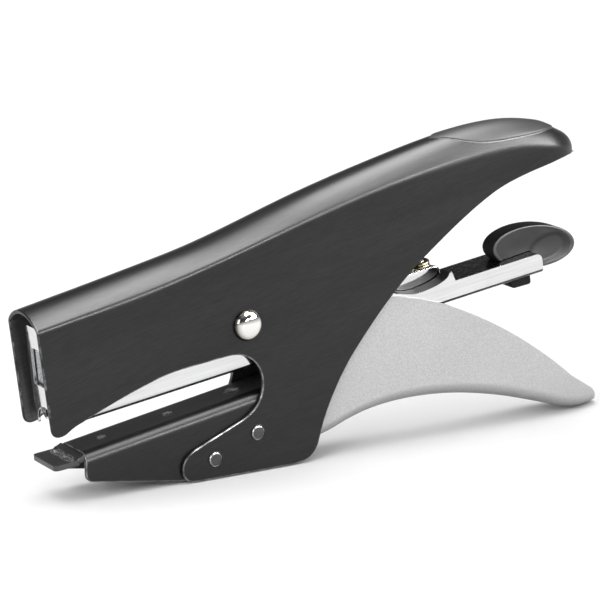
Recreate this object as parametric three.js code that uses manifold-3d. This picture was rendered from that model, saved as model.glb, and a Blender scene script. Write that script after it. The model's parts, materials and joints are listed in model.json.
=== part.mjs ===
// Plier stapler: a one-piece folded frame with a fixed lower jaw, a squeezing lever handle,
// a swinging magazine with a rear-loading staple pusher, and the driver between them.
// Millimetres, +Z up. +X runs from the jaws to the handles, Y = 0 is the mid-plane.
// Stations along X are counted from the jaws; the finished group is centred at the end.
import * as THREE from "three";
import { mergeVertices } from "three/addons/utils/BufferGeometryUtils.js";
import Module from "manifold-3d";

const wasm = await Module();
wasm.setup();

// ---- driving dimensions -------------------------------------------------------------------

const STATION_CENTRE = 81.43;

// Frame sheet
const FRAME_HALF_WIDTH = 8.0;
const FRAME_SHEET = 1.0;
const FRAME_BEND_SOFTNESS = 0.9;
const HORN_TAPER_START = 143.0;
const HORN_TIP = 156.5;

// Main pivot, shared by the handle and the magazine
const PIVOT_X = 54.3;
const PIVOT_Z = 37.6;
const PIVOT_SHAFT_RADIUS = 2.4;
const PIVOT_HOLE_RADIUS = 2.48;
const PIVOT_HEAD_RADIUS = 3.95;
const PIVOT_HEAD_HEIGHT = 2.3;

// Lower jaw and its rivets
const JAW_HALF_WIDTH = 6.85;
const JAW_SHEET = 1.2;
const JAW_BEND_RADIUS = 2.8;
const JAW_FRONT = 10.3;
const JAW_REAR = 67.5;
const JAW_TOP_AT_FRONT = 11.5;
const JAW_TOP_SLOPE = 0.172;
const JAW_DIMPLE_STATIONS = [18.0, 36.3, 54.3];
const JAW_RIVET_FRONT = [45.1, 5.0];
const JAW_RIVET_REAR = [57.2, 9.9];
const JAW_RIVET_RADIUS = 1.6;
const JAW_RIVET_HEAD_RADIUS = 2.05;
const JAW_RIVET_HEAD_HEIGHT = 0.4;

// Anvil tongue
const ANVIL_TIP = 2.3;
const ANVIL_REAR = 27.0;
const ANVIL_HALF_WIDTH = 6.1;
const ANVIL_ROOT_HALF_WIDTH = 4.5;
const ANVIL_THICKNESS = 1.3;
const ANVIL_TOP_AT_TIP = 9.4;
const ANVIL_TOP_AT_JAW = 10.15;
const ANVIL_POCKET_STATION = 7.3;

// Handle
const HANDLE_HALF_WIDTH = 6.75;
const HANDLE_SHEET = 1.0;
const HANDLE_TAPER_START = 147.0;
const HANDLE_TIP = 165.8;
const HANDLE_SPRING_X = 88.0;
const HANDLE_SPRING_LENGTH = 18.6;
const DRIVER_PIN_X = 5.6;
const DRIVER_PIN_Z = 38.6;
const DRIVER_PIN_RADIUS = 0.9;

// Magazine, drawn in its own tilted frame: u runs to the rear, v runs up, pivot at the origin
const MAGAZINE_TILT = THREE.MathUtils.degToRad(8.4);
const MAGAZINE_HALF_WIDTH = 5.6;
const MAGAZINE_SHEET = 0.7;
const MAGAZINE_FRONT = -52.3;
const MAGAZINE_REAR = 89.5;
const MAGAZINE_FLOOR = -12.0;
const CAP_FRONT = 62.4;
const CAP_TOP = -6.6;
const FLANGE_FRONT = 44.6;
const FLANGE_INNER = 1.5;
const FLANGE_SHEET = 0.6;
const NOSE_THICKNESS = 0.7;
const NOSE_HALF_WIDTH = 5.2;
const NOSE_TOP_HALF_WIDTH = 3.4;
const NOSE_TOP = 13.0;
const NOSE_MOUTH_RADIUS = 4.5;
const NOSE_SLOT_BOTTOM = -2.0;
const NOSE_SLOT_TOP = 7.4;
const NOSE_SLOT_BOTTOM_HALF = 3.2;
const NOSE_SLOT_TOP_HALF = 2.3;
const RAIL_HALF_WIDTH = 3.95;
const RAIL_TOP = -6.0;
const RAIL_REAR = 44.0;
const STRIP_HALF_WIDTH = 4.65;
const STRIP_REAR = -22.6;
const ROD_V = -9.0;
const ROD_RADIUS = 0.9;
const SHOE_FRONT = -22.2;
const SHOE_REAR = -12.0;
const STOP_FRONT = 50.5;
const STOP_REAR = 59.6;
const STOP_TOP = -7.0;
const SEAT_FRONT = 46.5;
const SEAT_REAR = 60.9;
const SEAT_TOP = -2.8;
const SEAT_HALF_WIDTH = 1.1;
const RETURN_SPRING_U = 56.0;
const DRIVER_FRONT = -52.2;

// Knob paddle in the magazine frame
const KNOB_U = 89.5;
const KNOB_V = -5.5;
const KNOB_HALF_LENGTH = 13.1;
const KNOB_HALF_HEIGHT = 5.7;
const KNOB_TILT = THREE.MathUtils.degToRad(-11.8);
const KNOB_HALF_THICKNESS = 2.6;
const KNOB_EDGE = 1.1;

// Profile keys [station, height], joined by smooth curves
const CREST_LINE = [
  [-6, 46.3], [26, 53.2], [46, 57.9], [75, 67.1], [100, 73.8], [118, 77.7], [133, 79.1],
  [145, 77.8], [151.8, 74.7], [155.4, 71.3], [156.5, 68.8],
];
const BEND_LINE = [
  [-6, 42.6], [26, 48.9], [46, 54.2], [75, 62.6], [94, 67.5], [113, 70.9], [133, 73.4],
  [143, 72.7], [150.6, 71.0], [155.0, 69.4], [156.5, 68.6],
];
const SPINE_LINE = [
  [64, 3.0], [72, 4.0], [79, 5.6], [85, 7.8], [92, 9.7], [101, 10.7], [111, 10.6], [121, 9.5],
  [133, 7.0], [145, 3.5], [152, 1.25], [157.5, 0.2], [161.5, 0.05], [165.8, 0.35],
];

// ---- materials ----------------------------------------------------------------------------

const finish = (color, roughness, metalness) =>
  new THREE.MeshStandardMaterial({ color, roughness, metalness });

const BLACK_BRUSHED = finish(0x1f1f21, 0.42, 0.7);
const BLACK_SOFT = finish(0x242527, 0.6, 0.0);
const BLACK_PLASTIC = finish(0x2b2d30, 0.5, 0.0);
const SILVER_LACQUER = finish(0xb6b7b8, 0.5, 0.6);
const CHROME = finish(0xd9dadb, 0.15, 1.0);
const STEEL = finish(0x9c9ea1, 0.3, 1.0);
const BRASS = finish(0xb08a48, 0.3, 1.0);

// ---- solid helpers ------------------------------------------------------------------------

// Closed triangle geometry to a solid that can be joined and cut.
function toSolid(geometry) {
  const bare = geometry.clone();
  bare.deleteAttribute("normal");
  bare.deleteAttribute("uv");
  const merged = mergeVertices(bare, 1e-4);
  const mesh = new wasm.Mesh({
    numProp: 3,
    vertProperties: new Float32Array(merged.attributes.position.array),
    triVerts: new Uint32Array(merged.index.array),
  });
  return new wasm.Manifold(mesh);
}

// Solid back to plain geometry.
function toGeometry(solid) {
  const mesh = solid.getMesh();
  const geometry = new THREE.BufferGeometry();
  geometry.setAttribute("position", new THREE.BufferAttribute(new Float32Array(mesh.vertProperties), 3));
  geometry.setIndex(new THREE.BufferAttribute(new Uint32Array(mesh.triVerts), 1));
  return geometry;
}

// Side-view outline (X, Z) pushed through from fromY to toY.
function plate(outline, fromY, toY, curveSegments = 10) {
  const settings = { depth: toY - fromY, bevelEnabled: false, curveSegments };
  const geometry = new THREE.ExtrudeGeometry(outline, settings);
  geometry.rotateX(Math.PI / 2);
  geometry.translate(0, toY, 0);
  return toSolid(geometry);
}

// Box between two corners.
function block(fromX, toX, fromY, toY, fromZ, toZ) {
  const geometry = new THREE.BoxGeometry(toX - fromX, toY - fromY, toZ - fromZ);
  geometry.translate((fromX + toX) / 2, (fromY + toY) / 2, (fromZ + toZ) / 2);
  return toSolid(geometry);
}

// Round bar across the stapler, along Y.
function crossBar(x, z, radius, halfLength, sides = 28) {
  const geometry = new THREE.CylinderGeometry(radius, radius, 2 * halfLength, sides);
  geometry.translate(x, 0, z);
  return toSolid(geometry);
}

// Round bar along X.
function lengthBar(fromX, toX, z, radius, sides = 16) {
  const geometry = new THREE.CylinderGeometry(radius, radius, toX - fromX, sides);
  geometry.rotateZ(-Math.PI / 2);
  geometry.translate((fromX + toX) / 2, 0, z);
  return toSolid(geometry);
}

// Ellipsoid used for dimples and dished faces.
function ellipsoid(x, y, z, radiusX, radiusY, radiusZ, sides = 20) {
  const geometry = new THREE.SphereGeometry(1, sides, Math.round(sides / 2));
  geometry.scale(radiusX, radiusY, radiusZ);
  geometry.translate(x, y, z);
  return toSolid(geometry);
}

// Closed skin over a run of matching rings, each counter-clockwise seen from the far end.
function skin(rings, flatRing) {
  const count = flatRing.length;
  const positions = rings.flat().flatMap((point) => [point.x, point.y, point.z]);
  const faces = [];
  for (let ring = 0; ring + 1 < rings.length; ring += 1) {
    for (let corner = 0; corner < count; corner += 1) {
      const a = ring * count + corner;
      const b = ring * count + ((corner + 1) % count);
      faces.push(a, b, b + count, a, b + count, a + count);
    }
  }
  const last = (rings.length - 1) * count;
  for (const [a, b, c] of THREE.ShapeUtils.triangulateShape(flatRing, [])) {
    faces.push(c, b, a, last + a, last + b, last + c);
  }
  const geometry = new THREE.BufferGeometry();
  geometry.setAttribute("position", new THREE.Float32BufferAttribute(positions, 3));
  geometry.setIndex(faces);
  return toSolid(geometry);
}

// Smooth height curve through [station, height] keys.
function smoothLine(keys) {
  const slopeAt = (index) => {
    const before = keys[Math.max(index - 1, 0)];
    const after = keys[Math.min(index + 1, keys.length - 1)];
    return (after[1] - before[1]) / (after[0] - before[0]);
  };
  return (station) => {
    const found = keys.findIndex((key) => key[0] > station);
    const next = found < 0 ? keys.length - 1 : Math.max(found, 1);
    const [x0, z0] = keys[next - 1];
    const [x1, z1] = keys[next];
    const width = x1 - x0;
    const t = Math.min(Math.max((station - x0) / width, 0), 1);
    const rise = z0 * (1 + 2 * t) * (1 - t) ** 2 + z1 * t * t * (3 - 2 * t);
    const lean = slopeAt(next - 1) * t * (1 - t) ** 2 - slopeAt(next) * t * t * (1 - t);
    return rise + lean * width;
  };
}

// Stations spread evenly, with extra ones over a rounded end.
function stationsTo(first, taperStart, last, step, endCount) {
  const even = [];
  const evenCount = Math.ceil((taperStart - first) / step);
  for (let index = 0; index <= evenCount; index += 1) {
    even.push(first + ((taperStart - first) * index) / evenCount);
  }
  for (let index = 1; index <= endCount; index += 1) {
    const quarterTurn = ((Math.PI / 2) * index) / (endCount + 0.35);
    even.push(taperStart + (last - taperStart) * Math.sin(quarterTurn));
  }
  return even;
}

// Plan half-width that closes to a rounded end.
function roundedHalfWidth(station, halfWidth, taperStart, last) {
  if (station <= taperStart) {
    return halfWidth;
  }
  const along = (station - taperStart) / (last - taperStart);
  return halfWidth * Math.sqrt(Math.max(1 - along * along, 0));
}

// Coil spring wire as a closed tube: turns round an axis along Z, from bottom to top.
function coil(radius, wireRadius, bottom, top, turns, perTurn = 10, sides = 5) {
  const count = Math.round(turns * perTurn);
  const rings = [];
  const flatRing = [];
  const climb = (top - bottom) / (2 * Math.PI * turns);
  for (let side = 0; side < sides; side += 1) {
    const angle = (2 * Math.PI * side) / sides;
    flatRing.push(new THREE.Vector2(Math.cos(angle), Math.sin(angle)));
  }
  for (let index = 0; index <= count; index += 1) {
    const turn = (2 * Math.PI * index) / perTurn;
    const outward = new THREE.Vector3(Math.cos(turn), Math.sin(turn), 0);
    const centre = outward.clone().multiplyScalar(radius);
    centre.z = bottom + ((top - bottom) * index) / count;
    const forward = new THREE.Vector3(-radius * Math.sin(turn), radius * Math.cos(turn), climb).normalize();
    const upward = new THREE.Vector3().crossVectors(forward, outward);
    rings.push(flatRing.map((spot) => centre.clone()
      .addScaledVector(outward, spot.x * wireRadius)
      .addScaledVector(upward, spot.y * wireRadius)));
  }
  return skin(rings, flatRing);
}

// ---- naming and placing -------------------------------------------------------------------

const stapler = new THREE.Group();
stapler.name = "plier_stapler";

function addPart(name, solid, material) {
  const geometry = toGeometry(solid);
  geometry.translate(-STATION_CENTRE, 0, 0);
  geometry.computeVertexNormals();
  const mesh = new THREE.Mesh(geometry, material);
  mesh.name = name;
  stapler.add(mesh);
}

// Solid drawn in the magazine frame, set down at its tilt on the pivot.
function addMagazinePart(name, solid, material) {
  const geometry = toGeometry(solid);
  geometry.rotateY(-MAGAZINE_TILT);
  geometry.translate(PIVOT_X, 0, PIVOT_Z);
  addPart(name, toSolid(geometry), material);
}

// ---- frame --------------------------------------------------------------------------------

const crestAt = smoothLine(CREST_LINE);
const bendAt = smoothLine(BEND_LINE);

// Section of the hood at one station: upright sides, a soft bend, and a domed top.
function hoodRing(station, inset, floor) {
  const halfWidth = Math.max(
    roundedHalfWidth(station, FRAME_HALF_WIDTH, HORN_TAPER_START, HORN_TIP), 0.6,
  );
  const crest = crestAt(station);
  const rise = Math.max(crest - bendAt(station), 0.15);
  const domeRadius = (halfWidth ** 2 + rise ** 2) / (2 * rise);
  const side = Math.max(halfWidth - inset, 0.2);
  const radius = Math.max(domeRadius - inset, side + 0.05);
  const centre = crest - domeRadius;
  const edgeAngle = Math.asin(Math.min(side / radius, 1));
  const bend = centre + radius * Math.cos(edgeAngle);
  const soft = Math.min(FRAME_BEND_SOFTNESS, side * 0.5);
  const arcAngle = edgeAngle - soft / radius;
  const right = [[side, floor], [side, bend - soft]];
  const arcEnd = [radius * Math.sin(arcAngle), centre + radius * Math.cos(arcAngle)];
  for (const t of [0.25, 0.5, 0.75]) {
    const y = side * (1 - t * t) + arcEnd[0] * t * t;
    const z = (bend - soft) * (1 - t) ** 2 + bend * 2 * t * (1 - t) + arcEnd[1] * t * t;
    right.push([y, z]);
  }
  const steps = 5;
  for (let step = 0; step < steps; step += 1) {
    const angle = arcAngle * (1 - step / steps);
    right.push([radius * Math.sin(angle), centre + radius * Math.cos(angle)]);
  }
  const left = right.map(([y, z]) => [-y, z]).reverse();
  return [...right, [0, centre + radius], ...left];
}

// Solid filling the hood down to the floor, shrunk by the inset on every side.
function hood(inset, floor = -6) {
  const reach = (HORN_TIP - inset * 1.1 - HORN_TAPER_START) / (HORN_TIP - HORN_TAPER_START);
  const rings = stationsTo(-6, HORN_TAPER_START, HORN_TIP, 6, 9).map((station) => {
    const beyond = Math.max(station - HORN_TAPER_START, 0);
    const x = inset > 0 ? station - beyond * (1 - reach) : station;
    return hoodRing(station, inset, floor).map(([y, z]) => new THREE.Vector3(x, y, z));
  });
  const flatRing = hoodRing(0, inset, floor).map(([y, z]) => new THREE.Vector2(y, z));
  return skin(rings, flatRing);
}

// Side plate outline: open front, throat, lower lobe, rear edge and horn underside.
function frameOutline() {
  const outline = new THREE.Shape();
  outline.moveTo(-8.5, 90);
  outline.lineTo(0.7, 19.4);
  outline.quadraticCurveTo(1.0, 17.1, 2.7, 17.0);
  outline.quadraticCurveTo(4.2, 17.0, 5.6, 18.1);
  outline.quadraticCurveTo(7.0, 19.1, 9.0, 19.8);
  outline.quadraticCurveTo(19.4, 24.4, 29.5, 27.5);
  outline.quadraticCurveTo(32.6, 28.4, 36.0, 28.9);
  outline.lineTo(49.0, 30.4);
  outline.bezierCurveTo(54.8, 31.0, 58.6, 26.8, 58.6, 22.2);
  outline.bezierCurveTo(58.6, 17.6, 56.0, 15.0, 51.5, 13.2);
  outline.lineTo(40.2, 8.5);
  outline.bezierCurveTo(37.2, 7.2, 36.0, 5.4, 36.0, 3.6);
  outline.bezierCurveTo(36.0, 1.2, 37.4, 0.0, 40.0, 0.0);
  outline.lineTo(66.0, 0.0);
  outline.bezierCurveTo(71.2, 0.0, 73.8, 1.4, 74.8, 4.6);
  outline.bezierCurveTo(76.6, 11.6, 79.0, 17.2, 84.0, 24.8);
  outline.bezierCurveTo(90.6, 33.6, 97.2, 41.0, 105.0, 47.4);
  outline.bezierCurveTo(112.6, 53.2, 119.4, 58.4, 127.0, 62.4);
  outline.bezierCurveTo(132.0, 65.0, 139.0, 66.7, 145.0, 68.1);
  outline.quadraticCurveTo(152.0, 69.9, 162.0, 69.0);
  outline.lineTo(170, 90);
  outline.closePath();
  return outline;
}

// Leaf-shaped prism standing under the horn cushion, grown outwards by the margin.
function leafPrism(margin, bottom, top) {
  const front = 112.2 - 1.4 * margin;
  const rear = 149.8 + margin;
  const half = 6.9 + margin;
  const leaf = new THREE.Shape();
  leaf.moveTo(front, 0);
  leaf.bezierCurveTo(front + 5, half * 0.8, 122, half, 131, half);
  leaf.bezierCurveTo(141, half, rear - 1, half * 0.72, rear, 0);
  leaf.bezierCurveTo(rear - 1, -half * 0.72, 141, -half, 131, -half);
  leaf.bezierCurveTo(122, -half, front + 5, -half * 0.8, front, 0);
  const geometry = new THREE.ExtrudeGeometry(leaf, { depth: top - bottom, bevelEnabled: false });
  geometry.translate(0, 0, bottom);
  return toSolid(geometry);
}

function frameShell() {
  let shell = hood(0).subtract(hood(FRAME_SHEET, -8));
  shell = shell.subtract(block(-12, -5.9, -9, 9, -9, 60));
  shell = shell.intersect(plate(frameOutline(), -9, 9, 12));
  shell = shell.subtract(leafPrism(0, 60, 90));
  shell = shell.subtract(crossBar(PIVOT_X, PIVOT_Z, PIVOT_HOLE_RADIUS, 9));
  for (const [x, z] of [JAW_RIVET_FRONT, JAW_RIVET_REAR]) {
    shell = shell.subtract(crossBar(x, z, JAW_RIVET_RADIUS + 0.1, 9));
  }
  return shell;
}

// Soft cushion: a proud leaf in the horn's window with a retaining lip under the sheet.
function hornCushion() {
  const skirtBottom = 71.2;
  const cavity = hood(2.2, -8);
  const pad = hood(-0.35).intersect(leafPrism(-0.25, skirtBottom, 90)).subtract(cavity);
  const lip = hood(1.15).intersect(leafPrism(0.75, skirtBottom, 90)).subtract(cavity);
  return pad.add(lip);
}

// Formed bracket under the horn that backs the magazine return spring.
function springBracket() {
  const outline = new THREE.Shape();
  outline.moveTo(101.0, 57.0);
  outline.lineTo(112.4, 59.6);
  outline.lineTo(112.1, 60.8);
  outline.lineTo(101.6, 58.4);
  outline.lineTo(101.6, 63.4);
  outline.lineTo(100.4, 63.4);
  outline.lineTo(100.4, 57.8);
  outline.closePath();
  const spigot = toSolid(new THREE.CylinderGeometry(1.3, 1.3, 2.6, 16).rotateX(Math.PI / 2)
    .rotateY(-MAGAZINE_TILT).translate(108.3, 0, 58.0));
  return plate(outline, -6.9, 6.9).add(spigot);
}

// Rivet turned about Y: a straight shank with a shallow domed head at both ends.
function rivet(x, z, shankRadius, headRadius, headHeight, collar) {
  const seat = FRAME_HALF_WIDTH + 0.05;
  const half = [new THREE.Vector2(shankRadius, 0), new THREE.Vector2(shankRadius, seat)];
  half.push(new THREE.Vector2(headRadius, seat));
  half.push(new THREE.Vector2(headRadius, seat + collar));
  const steps = 5;
  for (let step = 1; step < steps; step += 1) {
    const angle = ((Math.PI / 2) * step) / steps;
    const height = seat + collar + (headHeight - collar) * Math.sin(angle);
    half.push(new THREE.Vector2(headRadius * Math.cos(angle), height));
  }
  half.push(new THREE.Vector2(0, seat + headHeight));
  const lower = half.slice(1).map((point) => new THREE.Vector2(point.x, -point.y)).reverse();
  const geometry = new THREE.LatheGeometry([...lower, ...half.slice(1)], 28);
  geometry.translate(x, 0, z);
  return toSolid(geometry);
}

// ---- lower jaw ----------------------------------------------------------------------------

const jawTopAt = (station) => JAW_TOP_AT_FRONT + JAW_TOP_SLOPE * (station - JAW_FRONT);

// Inverted channel section with rounded top bends.
function jawBody(inset, from, to) {
  const half = JAW_HALF_WIDTH - inset;
  const bend = JAW_BEND_RADIUS - inset;
  const ringAt = (station, floor) => {
    const top = jawTopAt(station) - inset;
    const right = [[half, floor]];
    const steps = 6;
    for (let step = 0; step <= steps; step += 1) {
      const angle = ((Math.PI / 2) * step) / steps;
      right.push([half - bend + bend * Math.cos(angle), top - bend + bend * Math.sin(angle)]);
    }
    return [...right, ...right.map(([y, z]) => [-y, z]).reverse()];
  };
  const floor = -2 - inset;
  const rings = [from, to].map((station) => (
    ringAt(station, floor).map(([y, z]) => new THREE.Vector3(station, y, z))
  ));
  return skin(rings, ringAt(from, floor).map(([y, z]) => new THREE.Vector2(y, z)));
}

function jawOutline() {
  const outline = new THREE.Shape();
  outline.moveTo(JAW_FRONT, 30);
  outline.lineTo(JAW_FRONT, 6.2);
  outline.quadraticCurveTo(JAW_FRONT + 0.1, 4.6, 12.0, 4.2);
  outline.lineTo(36.0, 0.5);
  outline.lineTo(JAW_REAR - 2, 0.5);
  outline.quadraticCurveTo(JAW_REAR, 0.5, JAW_REAR, 3.0);
  outline.lineTo(JAW_REAR, 30);
  outline.closePath();
  return outline;
}

function lowerJaw() {
  let jaw = jawBody(0, JAW_FRONT - 1, JAW_REAR + 1);
  jaw = jaw.subtract(jawBody(JAW_SHEET, JAW_FRONT - 2, JAW_REAR + 2));
  jaw = jaw.intersect(plate(jawOutline(), -8, 8));
  for (const station of JAW_DIMPLE_STATIONS) {
    jaw = jaw.subtract(ellipsoid(station, 0, jawTopAt(station) + 0.75, 1.9, 1.9, 1.3));
  }
  for (const [x, z] of [JAW_RIVET_FRONT, JAW_RIVET_REAR]) {
    jaw = jaw.subtract(crossBar(x, z, JAW_RIVET_RADIUS + 0.1, 9));
  }
  return jaw;
}

// Hardened anvil tongue under the jaw's top: two staple-forming grooves, and a ramp up to the jaw.
function anvilPlate() {
  const side = new THREE.Shape();
  const rearTop = jawTopAt(ANVIL_REAR) - JAW_SHEET - 0.2;
  side.moveTo(ANVIL_TIP, ANVIL_TOP_AT_TIP);
  side.lineTo(ANVIL_TIP, ANVIL_TOP_AT_TIP - ANVIL_THICKNESS);
  side.lineTo(JAW_FRONT, ANVIL_TOP_AT_JAW - ANVIL_THICKNESS);
  side.lineTo(ANVIL_REAR, rearTop - ANVIL_THICKNESS);
  side.lineTo(ANVIL_REAR, rearTop);
  side.lineTo(JAW_FRONT - 0.1, ANVIL_TOP_AT_JAW);
  side.lineTo(JAW_FRONT - 0.1, ANVIL_TOP_AT_JAW + 0.9);
  side.lineTo(JAW_FRONT - 1.7, ANVIL_TOP_AT_JAW + 0.35);
  side.lineTo(JAW_FRONT - 2.2, ANVIL_TOP_AT_JAW - 0.21);
  side.closePath();
  const corner = 1.1;
  const half = ANVIL_HALF_WIDTH;
  const plan = new THREE.Shape();
  plan.moveTo(ANVIL_TIP + corner, -half + 0.1);
  plan.lineTo(JAW_FRONT - 0.3, -half);
  plan.lineTo(JAW_FRONT - 0.3, -ANVIL_ROOT_HALF_WIDTH);
  plan.lineTo(ANVIL_REAR, -ANVIL_ROOT_HALF_WIDTH);
  plan.lineTo(ANVIL_REAR, ANVIL_ROOT_HALF_WIDTH);
  plan.lineTo(JAW_FRONT - 0.3, ANVIL_ROOT_HALF_WIDTH);
  plan.lineTo(JAW_FRONT - 0.3, half);
  plan.lineTo(ANVIL_TIP + corner, half - 0.1);
  plan.quadraticCurveTo(ANVIL_TIP, half - 0.1, ANVIL_TIP, half - 0.1 - corner);
  plan.lineTo(ANVIL_TIP, -half + 0.1 + corner);
  plan.quadraticCurveTo(ANVIL_TIP, -half + 0.1, ANVIL_TIP + corner, -half + 0.1);
  const prism = new THREE.ExtrudeGeometry(plan, { depth: 20, bevelEnabled: false, curveSegments: 6 });
  let anvil = plate(side, -half, half).intersect(toSolid(prism));
  const along = (ANVIL_POCKET_STATION - ANVIL_TIP) / (JAW_FRONT - ANVIL_TIP);
  const pocketTop = ANVIL_TOP_AT_TIP + (ANVIL_TOP_AT_JAW - ANVIL_TOP_AT_TIP) * along;
  for (const sideSign of [-1, 1]) {
    anvil = anvil.subtract(ellipsoid(ANVIL_POCKET_STATION, 2.3 * sideSign, pocketTop, 0.8, 2.2, 0.55));
  }
  return anvil;
}

// ---- handle -------------------------------------------------------------------------------

const spineAt = smoothLine(SPINE_LINE);

// Channel section open at the top with a rounded spine.
function handleBody(inset) {
  const reach = (HANDLE_TIP - inset * 1.1 - HANDLE_TAPER_START) / (HANDLE_TIP - HANDLE_TAPER_START);
  const ringAt = (station) => {
    const width = roundedHalfWidth(station, HANDLE_HALF_WIDTH, HANDLE_TAPER_START, HANDLE_TIP);
    const half = Math.max(width - inset, 0.35);
    const bottom = spineAt(station) + inset;
    const bend = Math.min(3.6 - inset * 0.8, half * 0.95);
    const left = [[-half, 60]];
    const steps = 6;
    for (let step = 0; step <= steps; step += 1) {
      const angle = ((Math.PI / 2) * step) / steps;
      left.push([-half + bend - bend * Math.cos(angle), bottom + bend - bend * Math.sin(angle)]);
    }
    return [...left, ...left.map(([y, z]) => [-y, z]).reverse()];
  };
  const rings = stationsTo(64, HANDLE_TAPER_START, HANDLE_TIP, 5, 8).map((station) => {
    const beyond = Math.max(station - HANDLE_TAPER_START, 0);
    const x = station - beyond * (1 - reach);
    return ringAt(station).map(([y, z]) => new THREE.Vector3(x, y, z));
  });
  return skin(rings, ringAt(64).map(([y, z]) => new THREE.Vector2(y, z)));
}

// Outline of the visible grip and the hidden plates behind the throat.
function handleOutline() {
  const outline = new THREE.Shape();
  outline.moveTo(70.6, -4);
  outline.lineTo(70.6, 18);
  outline.quadraticCurveTo(70.0, 29.0, 60.0, 30.4);
  outline.lineTo(54.0, 30.6);
  outline.lineTo(54.0, 47.0);
  outline.lineTo(66.0, 47.4);
  outline.bezierCurveTo(78.0, 46.6, 82.0, 41.0, 92.0, 39.6);
  outline.bezierCurveTo(100.0, 38.6, 108.0, 36.8, 114.0, 34.4);
  outline.bezierCurveTo(122.0, 31.2, 130.0, 27.0, 137.2, 22.3);
  outline.bezierCurveTo(144.4, 17.6, 149.4, 13.6, 154.0, 9.8);
  outline.lineTo(161.6, 5.2);
  outline.quadraticCurveTo(164.4, 3.5, 166.4, -0.3);
  outline.lineTo(167.0, -4);
  outline.closePath();
  return outline;
}

// Arms that run forward from the pivot, over the magazine, to the driver.
function armOutline() {
  const outline = new THREE.Shape();
  outline.moveTo(4.6, 36.2);
  outline.lineTo(45.5, 32.4);
  outline.quadraticCurveTo(49.5, 30.2, 54.1, 30.6);
  outline.lineTo(54.1, 47.0);
  outline.lineTo(46.0, 47.2);
  outline.lineTo(3.8, 41.6);
  outline.quadraticCurveTo(2.6, 38.6, 4.6, 36.2);
  return outline;
}

// Bridge that ties the two arms together above the magazine.
function armBridge() {
  const outline = new THREE.Shape();
  outline.moveTo(3.8, 41.6);
  outline.lineTo(3.9, 40.6);
  outline.lineTo(32.0, 44.3);
  outline.lineTo(32.0, 45.35);
  outline.closePath();
  return plate(outline, -HANDLE_HALF_WIDTH + 0.2, HANDLE_HALF_WIDTH - 0.2);
}

function handleShell() {
  const half = HANDLE_HALF_WIDTH;
  let grip = handleBody(0).subtract(handleBody(HANDLE_SHEET));
  grip = grip.intersect(plate(handleOutline(), -8, 8, 10));
  const gripPlates = new THREE.Shape();
  gripPlates.moveTo(54.0, 30.6);
  gripPlates.lineTo(60.0, 30.4);
  gripPlates.quadraticCurveTo(64.0, 29.8, 66.5, 27.8);
  gripPlates.lineTo(66.5, 47.38);
  gripPlates.lineTo(66.0, 47.4);
  gripPlates.lineTo(54.0, 47.0);
  gripPlates.closePath();
  for (const sideSign of [-1, 1]) {
    const inner = sideSign * (half - HANDLE_SHEET);
    const outer = sideSign * half;
    const fromY = Math.min(inner, outer);
    const toY = Math.max(inner, outer);
    grip = grip.add(plate(gripPlates, fromY, toY));
    grip = grip.add(plate(armOutline(), fromY, toY));
  }
  grip = grip.add(armBridge());
  grip = grip.subtract(crossBar(PIVOT_X, PIVOT_Z, PIVOT_HOLE_RADIUS, 9));
  return grip.subtract(crossBar(DRIVER_PIN_X, DRIVER_PIN_Z, DRIVER_PIN_RADIUS + 0.1, 9, 20));
}

// Cross pin at the front of the arms.
function driverPin() {
  return crossBar(DRIVER_PIN_X, DRIVER_PIN_Z, DRIVER_PIN_RADIUS, HANDLE_HALF_WIDTH - 0.1, 20);
}

// Stands a piece drawn upright at the origin on the inside of the spine, square to it.
function onSpine(geometry) {
  const slope = (spineAt(HANDLE_SPRING_X + 3) - spineAt(HANDLE_SPRING_X - 3)) / 6;
  const seat = spineAt(HANDLE_SPRING_X) + HANDLE_SHEET + 0.4;
  geometry.rotateY(-Math.atan(slope));
  geometry.translate(HANDLE_SPRING_X, 0, seat);
  return toSolid(geometry);
}

// Turned cup that seats the handle spring.
function springCup() {
  const profile = [
    [0, 0], [3.9, 0], [4.2, 0.3], [4.2, 2.2], [3.8, 2.2], [3.8, 1.0], [2.4, 1.0], [2.2, 4.0], [0, 4.4],
  ];
  const geometry = new THREE.LatheGeometry(profile.map(([r, z]) => new THREE.Vector2(r, z)), 24);
  geometry.rotateX(Math.PI / 2);
  return onSpine(geometry);
}

function handleSpring() {
  return onSpine(toGeometry(coil(3.1, 0.42, 1.5, HANDLE_SPRING_LENGTH, 7)));
}

// ---- magazine -----------------------------------------------------------------------------

function channelOutline() {
  const outline = new THREE.Shape();
  outline.moveTo(MAGAZINE_FRONT, MAGAZINE_FLOOR);
  outline.lineTo(MAGAZINE_REAR - 1.4, MAGAZINE_FLOOR);
  outline.quadraticCurveTo(MAGAZINE_REAR, MAGAZINE_FLOOR, MAGAZINE_REAR, MAGAZINE_FLOOR + 1.6);
  outline.lineTo(MAGAZINE_REAR, CAP_TOP - 2.0);
  outline.quadraticCurveTo(MAGAZINE_REAR, CAP_TOP, MAGAZINE_REAR - 2.0, CAP_TOP);
  outline.lineTo(CAP_FRONT, CAP_TOP);
  outline.lineTo(61.7, -4.2);
  outline.quadraticCurveTo(61.0, -3.8, 60.6, -4.6);
  outline.bezierCurveTo(59.8, -6.0, 55.5, -6.7, 51.5, -6.8);
  outline.bezierCurveTo(47.5, -6.9, 44.0, -3.9, 37.0, -3.8);
  outline.lineTo(8.4, -3.6);
  outline.quadraticCurveTo(5.8, -3.2, 5.4, 0);
  outline.absarc(0, 0, 5.4, 0, Math.PI, false);
  outline.quadraticCurveTo(-5.8, -3.2, -8.4, -3.6);
  outline.lineTo(MAGAZINE_FRONT, -3.6);
  outline.closePath();
  return outline;
}

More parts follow.
